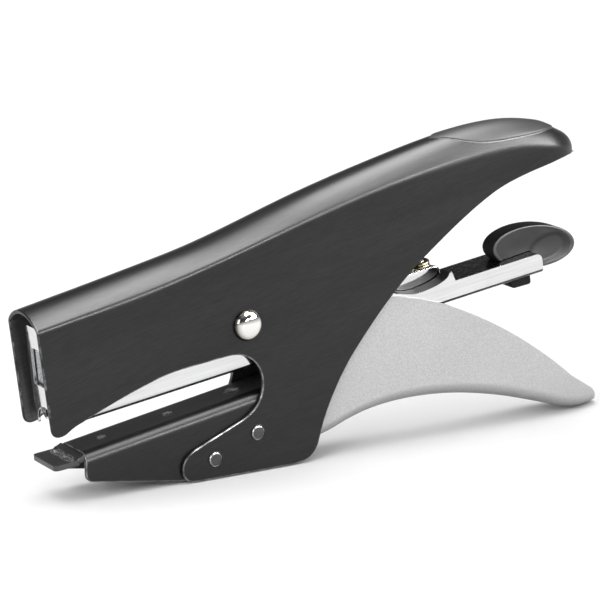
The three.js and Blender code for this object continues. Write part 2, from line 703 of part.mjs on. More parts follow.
// Chromed channel: open top, inward flanges along the dip, closed cap over the rear arm, open
// mouth at the rear.
function magazineChannel() {
  const inner = MAGAZINE_HALF_WIDTH - MAGAZINE_SHEET;
  const floor = MAGAZINE_FLOOR + MAGAZINE_SHEET;
  const full = plate(channelOutline(), -MAGAZINE_HALF_WIDTH, MAGAZINE_HALF_WIDTH, 10);
  const topSheet = full.subtract(full.translate([0, 0, -FLANGE_SHEET]));
  let channel = full.subtract(block(-60, CAP_FRONT, -inner, inner, floor, 20));
  channel = channel.subtract(block(CAP_FRONT - 1, 95, -inner, inner, floor, CAP_TOP - MAGAZINE_SHEET));
  channel = channel.subtract(block(-60, MAGAZINE_FRONT + 0.8, -inner, inner, -20, floor + 1));
  for (const sideSign of [-1, 1]) {
    const fromY = Math.min(sideSign * FLANGE_INNER, sideSign * (inner + 0.1));
    const toY = Math.max(sideSign * FLANGE_INNER, sideSign * (inner + 0.1));
    channel = channel.add(topSheet.intersect(block(FLANGE_FRONT, 61.9, fromY, toY, -9, 0)));
  }
  return channel.subtract(crossBar(0, 0, PIVOT_HOLE_RADIUS, 9));
}

// Inverted channel the staples straddle, slotted along its top for the pusher.
function stapleRail() {
  const floor = MAGAZINE_FLOOR + MAGAZINE_SHEET + 0.15;
  const front = MAGAZINE_FRONT + 0.9;
  let rail = block(front, RAIL_REAR, -RAIL_HALF_WIDTH, RAIL_HALF_WIDTH, floor, RAIL_TOP);
  const hollow = RAIL_HALF_WIDTH - 0.7;
  rail = rail.subtract(block(front - 1, RAIL_REAR + 1, -hollow, hollow, floor - 1, RAIL_TOP - 0.7));
  return rail.subtract(block(front + 3.5, RAIL_REAR - 3, -1.2, 1.2, RAIL_TOP - 2, RAIL_TOP + 2));
}

// Front plate with a tall sight slot, a wide half-round mouth and two short prongs.
function nosePlate() {
  const half = NOSE_HALF_WIDTH;
  const bottom = MAGAZINE_FLOOR;
  const front = new THREE.Shape();
  front.moveTo(-half, bottom - 0.3);
  front.lineTo(-half + 0.5, bottom - 0.3);
  front.lineTo(-NOSE_MOUTH_RADIUS, bottom + 0.1);
  front.absarc(0, bottom + 0.1, NOSE_MOUTH_RADIUS, Math.PI, 0, true);
  front.lineTo(half - 0.5, bottom - 0.3);
  front.lineTo(half, bottom - 0.3);
  front.lineTo(half, -6);
  front.lineTo(NOSE_TOP_HALF_WIDTH, NOSE_TOP - 0.8);
  front.lineTo(NOSE_TOP_HALF_WIDTH - 0.8, NOSE_TOP);
  front.lineTo(-NOSE_TOP_HALF_WIDTH + 0.8, NOSE_TOP);
  front.lineTo(-NOSE_TOP_HALF_WIDTH, NOSE_TOP - 0.8);
  front.lineTo(-half, -6);
  front.closePath();
  const slot = new THREE.Path();
  const low = NOSE_SLOT_BOTTOM_HALF;
  const high = NOSE_SLOT_TOP_HALF;
  const round = 0.6;
  slot.moveTo(-low, NOSE_SLOT_BOTTOM + round);
  slot.quadraticCurveTo(-low, NOSE_SLOT_BOTTOM, -low + round, NOSE_SLOT_BOTTOM);
  slot.lineTo(low - round, NOSE_SLOT_BOTTOM);
  slot.quadraticCurveTo(low, NOSE_SLOT_BOTTOM, low, NOSE_SLOT_BOTTOM + round);
  slot.lineTo(high, NOSE_SLOT_TOP - round);
  slot.quadraticCurveTo(high, NOSE_SLOT_TOP, high - round, NOSE_SLOT_TOP);
  slot.lineTo(-high + round, NOSE_SLOT_TOP);
  slot.quadraticCurveTo(-high, NOSE_SLOT_TOP, -high, NOSE_SLOT_TOP - round);
  slot.closePath();
  front.holes.push(slot);
  const settings = { depth: NOSE_THICKNESS, bevelEnabled: false, curveSegments: 8 };
  const geometry = new THREE.ExtrudeGeometry(front, settings);
  geometry.rotateX(Math.PI / 2);
  geometry.rotateZ(Math.PI / 2);
  geometry.translate(MAGAZINE_FRONT - 0.1 - NOSE_THICKNESS, 0, 0);
  return toSolid(geometry);
}

// Block of joined staples astride the rail.
function stapleStrip() {
  const front = MAGAZINE_FRONT + 0.85;
  const bottom = MAGAZINE_FLOOR + MAGAZINE_SHEET + 0.2;
  const top = RAIL_TOP + 0.65;
  const strip = block(front, STRIP_REAR, -STRIP_HALF_WIDTH, STRIP_HALF_WIDTH, bottom, top);
  const legInside = STRIP_HALF_WIDTH - 0.5;
  return strip.subtract(block(front - 1, STRIP_REAR + 1, -legInside, legInside, bottom - 1, top - 0.5));
}

// Pusher shoe: a saddle over the rail with a keel that holds the rod.
function pusherShoe() {
  const bottom = MAGAZINE_FLOOR + MAGAZINE_SHEET + 0.2;
  const half = STRIP_HALF_WIDTH;
  let shoe = block(SHOE_FRONT, SHOE_REAR, -half, half, bottom, -4.8);
  shoe = shoe.subtract(block(SHOE_FRONT - 1, SHOE_REAR + 1, -half + 0.45, half - 0.45, bottom - 1, -5.75));
  shoe = shoe.add(block(SHOE_FRONT + 2, SHOE_REAR - 2, -0.9, 0.9, -8.5, -5.0));
  shoe = shoe.add(block(SHOE_FRONT + 2, SHOE_REAR - 2, -2.4, 2.4, -10.9, -7.2));
  return shoe.subtract(lengthBar(SHOE_FRONT + 4, SHOE_REAR + 2, ROD_V, ROD_RADIUS + 0.1));
}

function pusherRod() {
  return lengthBar(SHOE_FRONT + 4.3, 94.5, ROD_V, ROD_RADIUS, 14);
}

function pusherSpring() {
  const geometry = toGeometry(coil(1.7, 0.28, -STOP_FRONT + 0.5, -(SHOE_REAR - 1.6), 20, 9));
  geometry.rotateY(-Math.PI / 2);
  geometry.translate(0, 0, ROD_V);
  return toSolid(geometry);
}

// Moulded block in the channel: the rod slides through it and the spring seat stands on it.
function guideBlock() {
  const half = MAGAZINE_HALF_WIDTH - MAGAZINE_SHEET - 0.1;
  const bottom = MAGAZINE_FLOOR + MAGAZINE_SHEET + 0.1;
  let guide = block(STOP_FRONT, STOP_REAR, -half, half, bottom, STOP_TOP - 0.6);
  guide = guide.add(block(STOP_FRONT, STOP_REAR, -1.0, 1.0, -8, STOP_TOP));
  return guide.subtract(lengthBar(STOP_FRONT - 1, STOP_REAR + 1, ROD_V, ROD_RADIUS + 0.3));
}

// Upright seat between the flanges, with the peg that centres the return spring.
function springSeat() {
  const bottom = STOP_TOP + 0.05;
  const outline = new THREE.Shape();
  outline.moveTo(SEAT_FRONT, bottom);
  outline.lineTo(SEAT_REAR - 0.8, bottom);
  outline.lineTo(SEAT_REAR, bottom + 0.8);
  outline.lineTo(SEAT_REAR, SEAT_TOP - 1.1);
  outline.quadraticCurveTo(SEAT_REAR, SEAT_TOP - 0.5, SEAT_REAR - 0.7, SEAT_TOP - 0.3);
  outline.lineTo(SEAT_REAR - 2.0, SEAT_TOP);
  outline.lineTo(SEAT_FRONT, SEAT_TOP);
  outline.closePath();
  const peg = new THREE.CylinderGeometry(1.0, 1.0, 2.4, 16);
  peg.rotateX(Math.PI / 2);
  peg.translate(RETURN_SPRING_U, 0, SEAT_TOP + 1.1);
  return plate(outline, -SEAT_HALF_WIDTH, SEAT_HALF_WIDTH).add(toSolid(peg));
}

function returnSpring() {
  const geometry = toGeometry(coil(2.3, 0.38, SEAT_TOP + 0.5, 10.9, 5.5));
  geometry.translate(RETURN_SPRING_U, 0, 0);
  return toSolid(geometry);
}

// Oval paddle with dished cheeks, standing over the cap and reaching down behind its mouth.
function pusherKnob() {
  const outline = new THREE.Shape();
  outline.absellipse(0, 0, KNOB_HALF_LENGTH - KNOB_EDGE, KNOB_HALF_HEIGHT - KNOB_EDGE, 0, 2 * Math.PI);
  const settings = {
    depth: 2 * (KNOB_HALF_THICKNESS - KNOB_EDGE),
    curveSegments: 22,
    bevelEnabled: true,
    bevelThickness: KNOB_EDGE,
    bevelSize: KNOB_EDGE,
    bevelSegments: 3,
  };
  const paddle = new THREE.ExtrudeGeometry(outline, settings);
  paddle.translate(0, 0, -(KNOB_HALF_THICKNESS - KNOB_EDGE));
  paddle.rotateX(Math.PI / 2);
  paddle.rotateY(-KNOB_TILT);
  paddle.translate(KNOB_U, 0, KNOB_V);
  let knob = toSolid(paddle);
  for (const sideSign of [-1, 1]) {
    const dish = toGeometry(ellipsoid(0, 0, 0, KNOB_HALF_LENGTH - 2.2, 1.0, KNOB_HALF_HEIGHT - 1.9, 28));
    dish.rotateY(-KNOB_TILT);
    dish.translate(KNOB_U, sideSign * KNOB_HALF_THICKNESS, KNOB_V);
    knob = knob.subtract(toSolid(dish));
  }
  knob = knob.subtract(block(60, MAGAZINE_REAR + 0.5, -5, 5, -30, CAP_TOP + 0.4));
  return knob.subtract(lengthBar(80, 94.8, ROD_V, ROD_RADIUS + 0.1));
}

// Clip under the rear arm.
function rearClip() {
  const outline = new THREE.Shape();
  outline.moveTo(80.0, MAGAZINE_FLOOR - 0.1);
  outline.lineTo(80.5, MAGAZINE_FLOOR - 1.8);
  outline.lineTo(81.8, MAGAZINE_FLOOR - 2.6);
  outline.lineTo(86.1, MAGAZINE_FLOOR - 2.75);
  outline.quadraticCurveTo(86.8, MAGAZINE_FLOOR - 2.7, 86.8, MAGAZINE_FLOOR - 1.9);
  outline.lineTo(86.8, MAGAZINE_FLOOR - 0.1);
  outline.closePath();
  return plate(outline, -3.4, 3.4);
}

// ---- driver, carried by the magazine nose and moved by the handle -------------------------

function driverBlade() {
  return block(DRIVER_FRONT, DRIVER_FRONT + 0.5, -4.6, 4.6, -4.8, 9.0);
}

function driverCarrier() {
  const front = DRIVER_FRONT + 0.6;
  const carrier = block(front, -44.6, -4.6, 4.6, 5.2, 9.7);
  const slotCentre = (DRIVER_PIN_X - PIVOT_X) * Math.cos(MAGAZINE_TILT)
    + (DRIVER_PIN_Z - PIVOT_Z) * Math.sin(MAGAZINE_TILT);
  const slotV = (PIVOT_X - DRIVER_PIN_X) * Math.sin(MAGAZINE_TILT)
    + (DRIVER_PIN_Z - PIVOT_Z) * Math.cos(MAGAZINE_TILT);
  const reach = DRIVER_PIN_RADIUS + 0.9;
  const lift = DRIVER_PIN_RADIUS + 0.2;
  return carrier.subtract(block(slotCentre - reach, slotCentre + reach, -9, 9, slotV - lift, slotV + lift));
}

// ---- assembly -----------------------------------------------------------------------------

addPart("frame_shell", frameShell(), BLACK_BRUSHED);
addPart("horn_cushion", hornCushion(), BLACK_SOFT);
addPart("spring_bracket", springBracket(), STEEL);
addPart("lower_jaw", lowerJaw(), BLACK_BRUSHED);
addPart("anvil_plate", anvilPlate(), BLACK_BRUSHED);
addPart("jaw_rivet_front", rivet(
  ...JAW_RIVET_FRONT, JAW_RIVET_RADIUS, JAW_RIVET_HEAD_RADIUS, JAW_RIVET_HEAD_HEIGHT, 0.15,
), BLACK_BRUSHED);
addPart("jaw_rivet_rear", rivet(
  ...JAW_RIVET_REAR, JAW_RIVET_RADIUS, JAW_RIVET_HEAD_RADIUS, JAW_RIVET_HEAD_HEIGHT, 0.15,
), BLACK_BRUSHED);
addPart("pivot_rivet", rivet(
  PIVOT_X, PIVOT_Z, PIVOT_SHAFT_RADIUS, PIVOT_HEAD_RADIUS, PIVOT_HEAD_HEIGHT, 0.5,
), CHROME);

addPart("handle_shell", handleShell(), SILVER_LACQUER);
addPart("driver_pin", driverPin(), STEEL);
addPart("handle_spring_cup", springCup(), STEEL);
addPart("handle_spring", handleSpring(), STEEL);

addMagazinePart("magazine_channel", magazineChannel(), CHROME);
addMagazinePart("staple_rail", stapleRail(), STEEL);
addMagazinePart("nose_plate", nosePlate(), CHROME);
addMagazinePart("staple_strip", stapleStrip(), STEEL);
addMagazinePart("guide_block", guideBlock(), BLACK_PLASTIC);
addMagazinePart("spring_seat", springSeat(), CHROME);
addMagazinePart("return_spring", returnSpring(), BRASS);
addMagazinePart("rear_clip", rearClip(), BLACK_PLASTIC);

addMagazinePart("pusher_shoe", pusherShoe(), BLACK_PLASTIC);
addMagazinePart("pusher_rod", pusherRod(), STEEL);
addMagazinePart("pusher_spring", pusherSpring(), STEEL);
addMagazinePart("pusher_knob", pusherKnob(), BLACK_PLASTIC);

addMagazinePart("driver_blade", driverBlade(), STEEL);
addMagazinePart("driver_carrier", driverCarrier(), STEEL);

export default stapler;
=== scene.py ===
"""Plier stapler: the visible pieces, materials, light and camera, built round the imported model.

Lengths inside the shape functions are millimetres. A point is (along, across, up): stations run
from the jaws to the handles. Magazine pieces use the magazine's own tilted axes, pivot at 0, 0.
"""

import json
from math import asin, atan, ceil, cos, exp, hypot, pi, radians, sin, sqrt

import bmesh
import bpy
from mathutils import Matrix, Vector


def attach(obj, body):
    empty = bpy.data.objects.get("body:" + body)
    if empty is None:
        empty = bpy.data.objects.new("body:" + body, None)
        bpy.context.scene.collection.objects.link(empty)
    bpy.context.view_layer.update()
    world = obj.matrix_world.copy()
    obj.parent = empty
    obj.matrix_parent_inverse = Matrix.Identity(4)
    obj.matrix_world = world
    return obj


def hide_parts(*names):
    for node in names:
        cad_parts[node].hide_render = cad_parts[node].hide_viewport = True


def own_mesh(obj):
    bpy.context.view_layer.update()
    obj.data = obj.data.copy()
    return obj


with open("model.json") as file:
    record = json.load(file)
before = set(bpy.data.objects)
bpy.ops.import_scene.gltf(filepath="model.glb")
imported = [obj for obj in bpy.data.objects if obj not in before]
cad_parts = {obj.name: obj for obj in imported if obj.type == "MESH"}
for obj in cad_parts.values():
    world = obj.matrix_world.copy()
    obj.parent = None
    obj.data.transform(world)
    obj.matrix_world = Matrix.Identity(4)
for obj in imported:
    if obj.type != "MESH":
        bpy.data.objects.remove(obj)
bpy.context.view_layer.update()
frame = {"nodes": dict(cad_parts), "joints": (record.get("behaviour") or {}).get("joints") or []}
nodes = frame["nodes"]

MM = 0.001
PIVOT = Vector(next(j["pos_m"] for j in frame["joints"] if j["name"] == "handle_squeeze"))
PIVOT_STATION = 54.3
PIVOT_HEIGHT = 37.6
TILT = radians(8.4)
RETURN_SPRING = 56.0
MERGE_CORNERS, MERGE_POLES = 1e-6, 1e-7
WALL_ROWS = 4
END_PITCH = 0.35


# ---- places ----

def rotated(x, z, angle):
    return x * cos(angle) - z * sin(angle), x * sin(angle) + z * cos(angle)


def on_frame(point):
    """A station point in the row frame."""
    along, across, up = point
    return PIVOT + Vector((along - PIVOT_STATION, across, up - PIVOT_HEIGHT)) * MM


def on_magazine(point):
    """A point in the magazine's tilted axes, in the row frame."""
    x, z = rotated(point[0], point[2], TILT)
    return PIVOT + Vector((x, point[1], z)) * MM


def in_magazine(place):
    """(u, across, v) of a point in the row frame."""
    x, across, z = (Vector(place) - PIVOT) / MM
    u, v = rotated(x, z, -TILT)
    return u, across, v


# ---- curves ----

def smooth_line(keys):
    """A smooth height curve through (station, height) keys."""

    def slope(i):
        before, after = keys[max(i - 1, 0)], keys[min(i + 1, len(keys) - 1)]
        return (after[1] - before[1]) / (after[0] - before[0])

    def height(station):
        i = next((k for k, key in enumerate(keys) if key[0] > station), len(keys) - 1)
        i = max(i, 1)
        (x0, z0), (x1, z1) = keys[i - 1], keys[i]
        t = min(max((station - x0) / (x1 - x0), 0), 1)
        rise = z0 * (1 + 2 * t) * (1 - t) ** 2 + z1 * t * t * (3 - 2 * t)
        lean = slope(i - 1) * t * (1 - t) ** 2 - slope(i) * t * t * (1 - t)
        return rise + lean * (x1 - x0)

    return height


class Path:
    """An outline of lines and Bezier curves, sampled into points."""

    def __init__(self, x, z):
        self.points = [(x, z)]

    def line(self, x, z):
        self.points.append((x, z))
        return self

    def quad(self, cx, cz, x, z, count=10):
        px, pz = self.points[-1]
        for k in range(1, count + 1):
            t = k / count
            a, b, c = (1 - t) ** 2, 2 * t * (1 - t), t * t
            self.points.append((a * px + b * cx + c * x, a * pz + b * cz + c * z))
        return self

    def cubic(self, ax, az, bx, bz, x, z, count=16):
        px, pz = self.points[-1]
        for k in range(1, count + 1):
            t = k / count
            w = ((1 - t) ** 3, 3 * t * (1 - t) ** 2, 3 * t * t * (1 - t), t ** 3)
            self.points.append((
                w[0] * px + w[1] * ax + w[2] * bx + w[3] * x,
                w[0] * pz + w[1] * az + w[2] * bz + w[3] * z,
            ))
        return self


def height_on(points, station):
    """Height at a station on a run of points that goes steadily to the right."""
    for (x0, z0), (x1, z1) in zip(points, points[1:]):
        if x0 <= station <= x1:
            return z0 + (z1 - z0) * (station - x0) / max(x1 - x0, 1e-9)
    return points[-1][1] if station > points[-1][0] else points[0][1]


def even(first, last, step):
    """Evenly spaced stations from first to last."""
    count = max(1, ceil((last - first) / step))
    return [first + (last - first) * k / count for k in range(count + 1)]


def round_end(start, tip, count):
    """Stations that crowd towards a rounded tip."""
    return [start + (tip - start) * sin(pi / 2 * k / count) for k in range(1, count + 1)]


def round_half(station, half, start, tip, least):
    """Half width in plan that closes to a rounded end."""
    if station <= start:
        return half
    share = min((station - start) / (tip - start), 1)
    return max(half * sqrt(1 - share * share), least)


def smooth_step(t):
    t = min(max(t, 0), 1)
    return t * t * (3 - 2 * t)


# ---- meshes ----

class Skin:
    """Faces given by their corners, so that neighbouring patches share vertices."""

    def __init__(self):
        self.index = {}
        self.points = []
        self.faces = []

    def corner(self, point):
        key = tuple(round(value * 2000) for value in point)
        if key not in self.index:
            self.index[key] = len(self.points)
            self.points.append(tuple(point))
        return self.index[key]

    def face(self, corners):
        ring = []
        for corner in corners:
            i = self.corner(corner)
            if i not in ring:
                ring.append(i)
        if len(ring) > 2:
            self.faces.append(ring)

    def grid(self, rows):
        for low, high in zip(rows, rows[1:]):
            for k in range(len(low) - 1):
                self.face([low[k], low[k + 1], high[k + 1], high[k]])

    def mirror(self):
        for ring in list(self.faces):
            corners = [self.points[i] for i in reversed(ring)]
            self.face([(x, -y, z) for x, y, z in corners])


def round_nose(skin, rings, stations, section_at, edge, keep):
    """Walls and rings of a rounded end. edge is the plate's free edge, and keep is min or max."""
    wall = []
    for s in stations:
        stop = height_on(edge, s)
        section = section_at(s)
        across, seam = section[0]
        climb = keep(seam, stop) - stop
        if s > stations[0]:
            rings.append([(s, y, keep(z, stop)) for y, z in section])
        wall.append([(s, across, stop + climb * k / WALL_ROWS) for k in range(WALL_ROWS + 1)])
    skin.grid(wall)
    skin.mirror()
    skin.grid(rings)


def finish_mesh(obj, body, replaced, slot, *materials):
    """Gives a piece its materials, its CAD body and the CAD nodes that it stands for."""
    obj.data.materials.clear()
    for material in materials:
        obj.data.materials.append(material)
    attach(obj, body)
    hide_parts(*replaced)


def into_scene(name, data):
    obj = bpy.data.objects.new(name, data)
    bpy.context.scene.collection.objects.link(obj)
    return obj


def add_object(name, points, faces):
    mesh = bpy.data.meshes.new(name)
    mesh.from_pydata([tuple(p) for p in points], [], faces)
    return into_scene(name, mesh)


def clean(mesh, merge=0.0, facing=0):
    """Merges close vertices and makes normals agree. facing is the first normal's sign along Y."""
    work = bmesh.new()
    work.from_mesh(mesh)
    if merge:
        bmesh.ops.remove_doubles(work, verts=work.verts, dist=merge)
    bmesh.ops.recalc_face_normals(work, faces=work.faces)
    work.faces.ensure_lookup_table()
    if work.faces[0].normal.y * facing < 0:
        bmesh.ops.reverse_faces(work, faces=work.faces)
    work.to_mesh(mesh)
    work.free()
    mesh.shade_smooth()


def from_skin(name, skin, place, facing=0):
    obj = add_object(name, [place(p) for p in skin.points], skin.faces)
    clean(obj.data, facing=facing)
    return obj


def thicken(obj, thickness, fade_from=None):
    """Sheet thickness, laid inwards from the outer skin. Past fade_from it thins to the tip."""
    mod = obj.modifiers.new("sheet", "SOLIDIFY")
    mod.thickness = thickness * MM
    mod.offset = -1
    mod.use_even_offset = fade_from is None
    mod.use_quality_normals = True
    if fade_from is not None:
        group = obj.vertex_groups.new(name="sheet")
        for vertex in obj.data.vertices:
            past = (vertex.co.x - on_frame((fade_from, 0, 0)).x) / MM
            group.add([vertex.index], min(max(1 - past / 5.0, 0.05), 1.0), "REPLACE")
        mod.vertex_group = "sheet"


def soften(obj, width, segments=3, angle=38, rolled=-1, clamp=True):
    """Small rolled edges, with normals that keep the flats flat."""
    mod = obj.modifiers.new("edges", "BEVEL")
    mod.material = rolled
    mod.width = width * MM
    mod.segments = segments
    mod.limit_method = "ANGLE"
    mod.angle_limit = radians(angle)
    mod.use_clamp_overlap = clamp
    mod.miter_outer = "MITER_ARC"
    normals = obj.modifiers.new("normals", "WEIGHTED_NORMAL")
    normals.mode = "FACE_AREA"
    normals.keep_sharp = True


def bake(obj):
    """Applies every modifier to the mesh."""
    ready = obj.evaluated_get(bpy.context.evaluated_depsgraph_get())
    mesh = bpy.data.meshes.new_from_object(ready)
    obj.modifiers.clear()
    obj.data = mesh
    return obj


def prism(name, outline, half, place, width=0.15):
    """A plate cut to a side outline, centred on the middle plane, with softened edges."""
    count = len(outline)
    points = [(x, y, z) for y in (-half, half) for x, z in outline]
    faces = [list(range(count)), list(range(2 * count - 1, count - 1, -1))]
    faces += [[k, (k + 1) % count, (k + 1) % count + count, k + count] for k in range(count)]
    obj = add_object(name, [place(p) for p in points], faces)
    clean(obj.data, MERGE_CORNERS)
    soften(obj, width)
    return obj


def bands(rows, sides):
    """Quads between neighbouring rings of points."""
    faces = []
    for start in range(0, (rows - 1) * sides, sides):
        for k in range(sides):
            a, b = start + k, start + (k + 1) % sides
            faces.append([a, b, b + sides, a + sides])
    return faces


def lathe(name, profile, place, sides):
    """A turned piece: profile holds (radius, reach), and place takes two offsets and the reach."""
    points = []
    for radius, reach in profile:
        for k in range(sides):
            a = 2 * pi * k / sides
            points.append(place(radius * cos(a), radius * sin(a), reach))
    obj = add_object(name, points, bands(len(profile), sides))
    clean(obj.data, MERGE_POLES)
    return obj


def turned(name, profile, centre, sides=56):
    """Turned about a line along Y through a station and a height of the frame."""
    x, z = centre
    return lathe(name, profile, lambda p, q, y: on_frame((x + p, y, z + q)), sides)


def upright(name, profile, along, place, sides=40):
    """Turned about an upright line in the middle plane."""
    return lathe(name, profile, lambda p, q, up: place((along + p, q, up)), sides)


def tube(name, line, radius, sides=10):
    """A round wire along a run of points in metres, closed at both ends."""
    points = []
    for k, point in enumerate(line):
        forward = (line[min(k + 1, len(line) - 1)] - line[max(k - 1, 0)]).normalized()
        side = forward.cross(Vector((0, 0.31, 0.95))).normalized()
        up = side.cross(forward)
        for s in range(sides):
            a = 2 * pi * s / sides
            points.append(point + (side * cos(a) + up * sin(a)) * radius * MM)
    caps = [list(range(sides - 1, -1, -1)), list(range(len(points) - sides, len(points)))]
    obj = add_object(name, points, bands(len(line), sides) + caps)
    obj.data.shade_smooth()
    return obj


def helix(low, high, radius, turns, place, closed=1.0, per_turn=26):
    """Points of a coil round an upright axis. Its closed end turns are wound at a finer pitch."""
    line = []
    slow = END_PITCH / turns
    for k in range(int(turns * per_turn) + 1):
        turn = k / per_turn
        if turn < closed:
            share = slow * turn
        elif turn > turns - closed:
            share = 1 - slow * (turns - turn)
        else:
            middle = (turn - closed) / (turns - 2 * closed)
            share = slow * closed + middle * (1 - 2 * slow * closed)
        a = 2 * pi * turn
        line.append(place((radius * cos(a), radius * sin(a), low + (high - low) * share)))
    return line


# ---- materials ----

def new_material(name):
    material = bpy.data.materials.new(name)
    material.use_nodes = True
    tree = material.node_tree
    return material, tree, tree.nodes["Principled BSDF"]


def add_node(tree, kind, **settings):
    """A node with its properties and unlinked inputs set. From_Min stands for From Min."""
    node = tree.nodes.new(kind)
    for key, value in settings.items():
        label = key.replace("_", " ")
        if label in node.inputs:
            node.inputs[label].default_value = value
        else:
            setattr(node, key, value)
    return node


def object_vector(tree):
    return add_node(tree, "ShaderNodeTexCoord").outputs["Object"]


def grain(tree, lean_degrees, along, across):
    """Object coordinates stretched along a grain that leans up towards the handles."""
    turn = add_node(tree, "ShaderNodeMapping", Rotation=(0, radians(lean_degrees), 0))
    stretch = add_node(tree, "ShaderNodeMapping", Scale=(along, across, across))
    tree.links.new(object_vector(tree), turn.inputs["Vector"])
    tree.links.new(turn.outputs["Vector"], stretch.inputs["Vector"])
    return stretch.outputs["Vector"]


def noise(tree, scale, detail=3.0, roughness=0.55, vector=None):
    node = add_node(tree, "ShaderNodeTexNoise", Scale=scale, Detail=detail, Roughness=roughness)
    tree.links.new(vector or object_vector(tree), node.inputs["Vector"])
    return node.outputs["Fac"]


def to_range(tree, value, low, high, from_low=0.3, from_high=0.7, kind="LINEAR"):
    node = add_node(tree, "ShaderNodeMapRange", interpolation_type=kind, From_Min=from_low,
                    From_Max=from_high, To_Min=low, To_Max=high)
    tree.links.new(value, node.inputs["Value"])
    return node.outputs["Result"]


def arithmetic(tree, operation, *values):
    node = add_node(tree, "ShaderNodeMath", operation=operation)
    for socket, value in zip(node.inputs, values):
        tree.links.new(value, socket)
    return node.outputs["Value"]


def axes(tree, vector):
    node = add_node(tree, "ShaderNodeSeparateXYZ")
    tree.links.new(vector, node.inputs["Vector"])
    return node.outputs


def surface_normal(tree):
    return axes(tree, add_node(tree, "ShaderNodeNewGeometry").outputs["Normal"])


def two_tones(tree, factor, dark, light):
    node = add_node(tree, "ShaderNodeValToRGB")
    for element, place, tone in zip(node.color_ramp.elements, (0.3, 0.7), (dark, light)):
        element.position = place
        element.color = (*tone, 1)
    tree.links.new(factor, node.inputs["Fac"])
    return node.outputs["Color"]


def surface(tree, shader, tones, roughness, metallic=0.0, specular=0.5):
    """Links a tone, links or sets a roughness, and sets the rest."""
    tree.links.new(tones, shader.inputs["Base Color"])
    if isinstance(roughness, float):
        shader.inputs["Roughness"].default_value = roughness
    else:
        tree.links.new(roughness, shader.inputs["Roughness"])
    shader.inputs["Metallic"].default_value = metallic
    shader.inputs["Specular IOR Level"].default_value = specular


def add_bump(tree, shader, height, strength, distance):
    node = add_node(tree, "ShaderNodeBump", Strength=strength, Distance=distance)
    tree.links.new(height, node.inputs["Height"])
    tree.links.new(node.outputs["Normal"], shader.inputs["Normal"])


def black_brushed(name, dark, light):
    """Black coated steel with a fine brushed grain along the stapler."""
    material, tree, shader = new_material(name)
    fine = noise(tree, 1.0, 4.0, 0.6, grain(tree, 14, 280, 4200))
    broad = noise(tree, 1.0, 2.0, vector=grain(tree, 14, 14, 200))
    tones = two_tones(tree, fine, (dark, dark, dark * 1.04), (light, light, light * 1.04))
    surface(tree, shader, tones, to_range(tree, broad, 0.30, 0.40), 0.55, 0.55)
    add_bump(tree, shader, fine, 0.10, 0.00002)
    return material


def worn_black():
    """Black coating rubbed thin along cut edges, most on the lobe, least at the rear and the nose."""
    material, tree, shader = new_material("black_worn_edge")
    marks = noise(tree, 1.0, vector=grain(tree, 16, 90, 1500))
    rubbed = noise(tree, 420, 4.0, 0.65)
    place = axes(tree, object_vector(tree))
    rearward = to_range(tree, place["X"], 0.0, 0.35, -0.02, 0.02)
    forward = to_range(tree, place["X"], 0.16, 0.0, -0.07, -0.045)
    above_jaw = to_range(tree, place["Z"], 0.0, 1.0, 0.012, 0.018)
    kept = arithmetic(tree, "MULTIPLY_ADD", forward, above_jaw, rearward)
    wear = arithmetic(tree, "SUBTRACT", rubbed, kept)
    tones = two_tones(tree, wear, (0.03, 0.03, 0.031), (0.36, 0.36, 0.362))
    surface(tree, shader, tones, to_range(tree, marks, 0.26, 0.38), 0.9)
    add_bump(tree, shader, marks, 0.10, 0.00002)
    return material


def metal(name, dark, light, roughness, scale=1.0, detail=3.0, mix=0.55, stretch=None, bump=None):
    """Bare metal with marks from noise, drawn out along the magazine where stretch is given."""
    material, tree, shader = new_material(name)
    vector = grain(tree, 8.4, *stretch) if stretch else None
    marks = noise(tree, scale, detail, mix, vector)
    rough = to_range(tree, marks, *roughness)
    surface(tree, shader, two_tones(tree, marks, dark, light), rough, 1.0)
    if bump:
        add_bump(tree, shader, marks, *bump)
    return material


def soft_black():
    """Soft-touch cushion: satin, with a very fine moulded texture."""
    material, tree, shader = new_material("soft_touch_black")
    fine = noise(tree, 5200, 2.0)
    broad = noise(tree, 90, 3.0)
    tones = two_tones(tree, broad, (0.030, 0.030, 0.031), (0.040, 0.040, 0.042))
    surface(tree, shader, tones, to_range(tree, fine, 0.40, 0.50), specular=0.38)
    add_bump(tree, shader, fine, 0.10, 0.00003)
    return material


def seam_line():
    """The rubbed metal lip round the cushion."""
    material, tree, shader = new_material("seam_lip")
    fine = noise(tree, 3000, 2.0)
    tones = two_tones(tree, fine, (0.045, 0.045, 0.0455), (0.09, 0.09, 0.0905))
    surface(tree, shader, tones, 0.45, 0.8)
    return material


def black_plastic(name, dark, light, roughness, specular):
    """Satin moulded plastic with slight sink and handling marks."""
    material, tree, shader = new_material(name)
    fine = noise(tree, 4200, 3.0)
    broad = noise(tree, 160, 3.0)
    tones = two_tones(tree, broad, (dark, dark * 1.01, dark * 1.06),
                      (light, light * 1.01, light * 1.06))
    rough = to_range(tree, broad, roughness, roughness + 0.1)
    surface(tree, shader, tones, rough, specular=specular)
    add_bump(tree, shader, fine, 0.08, 0.00002)
    return material


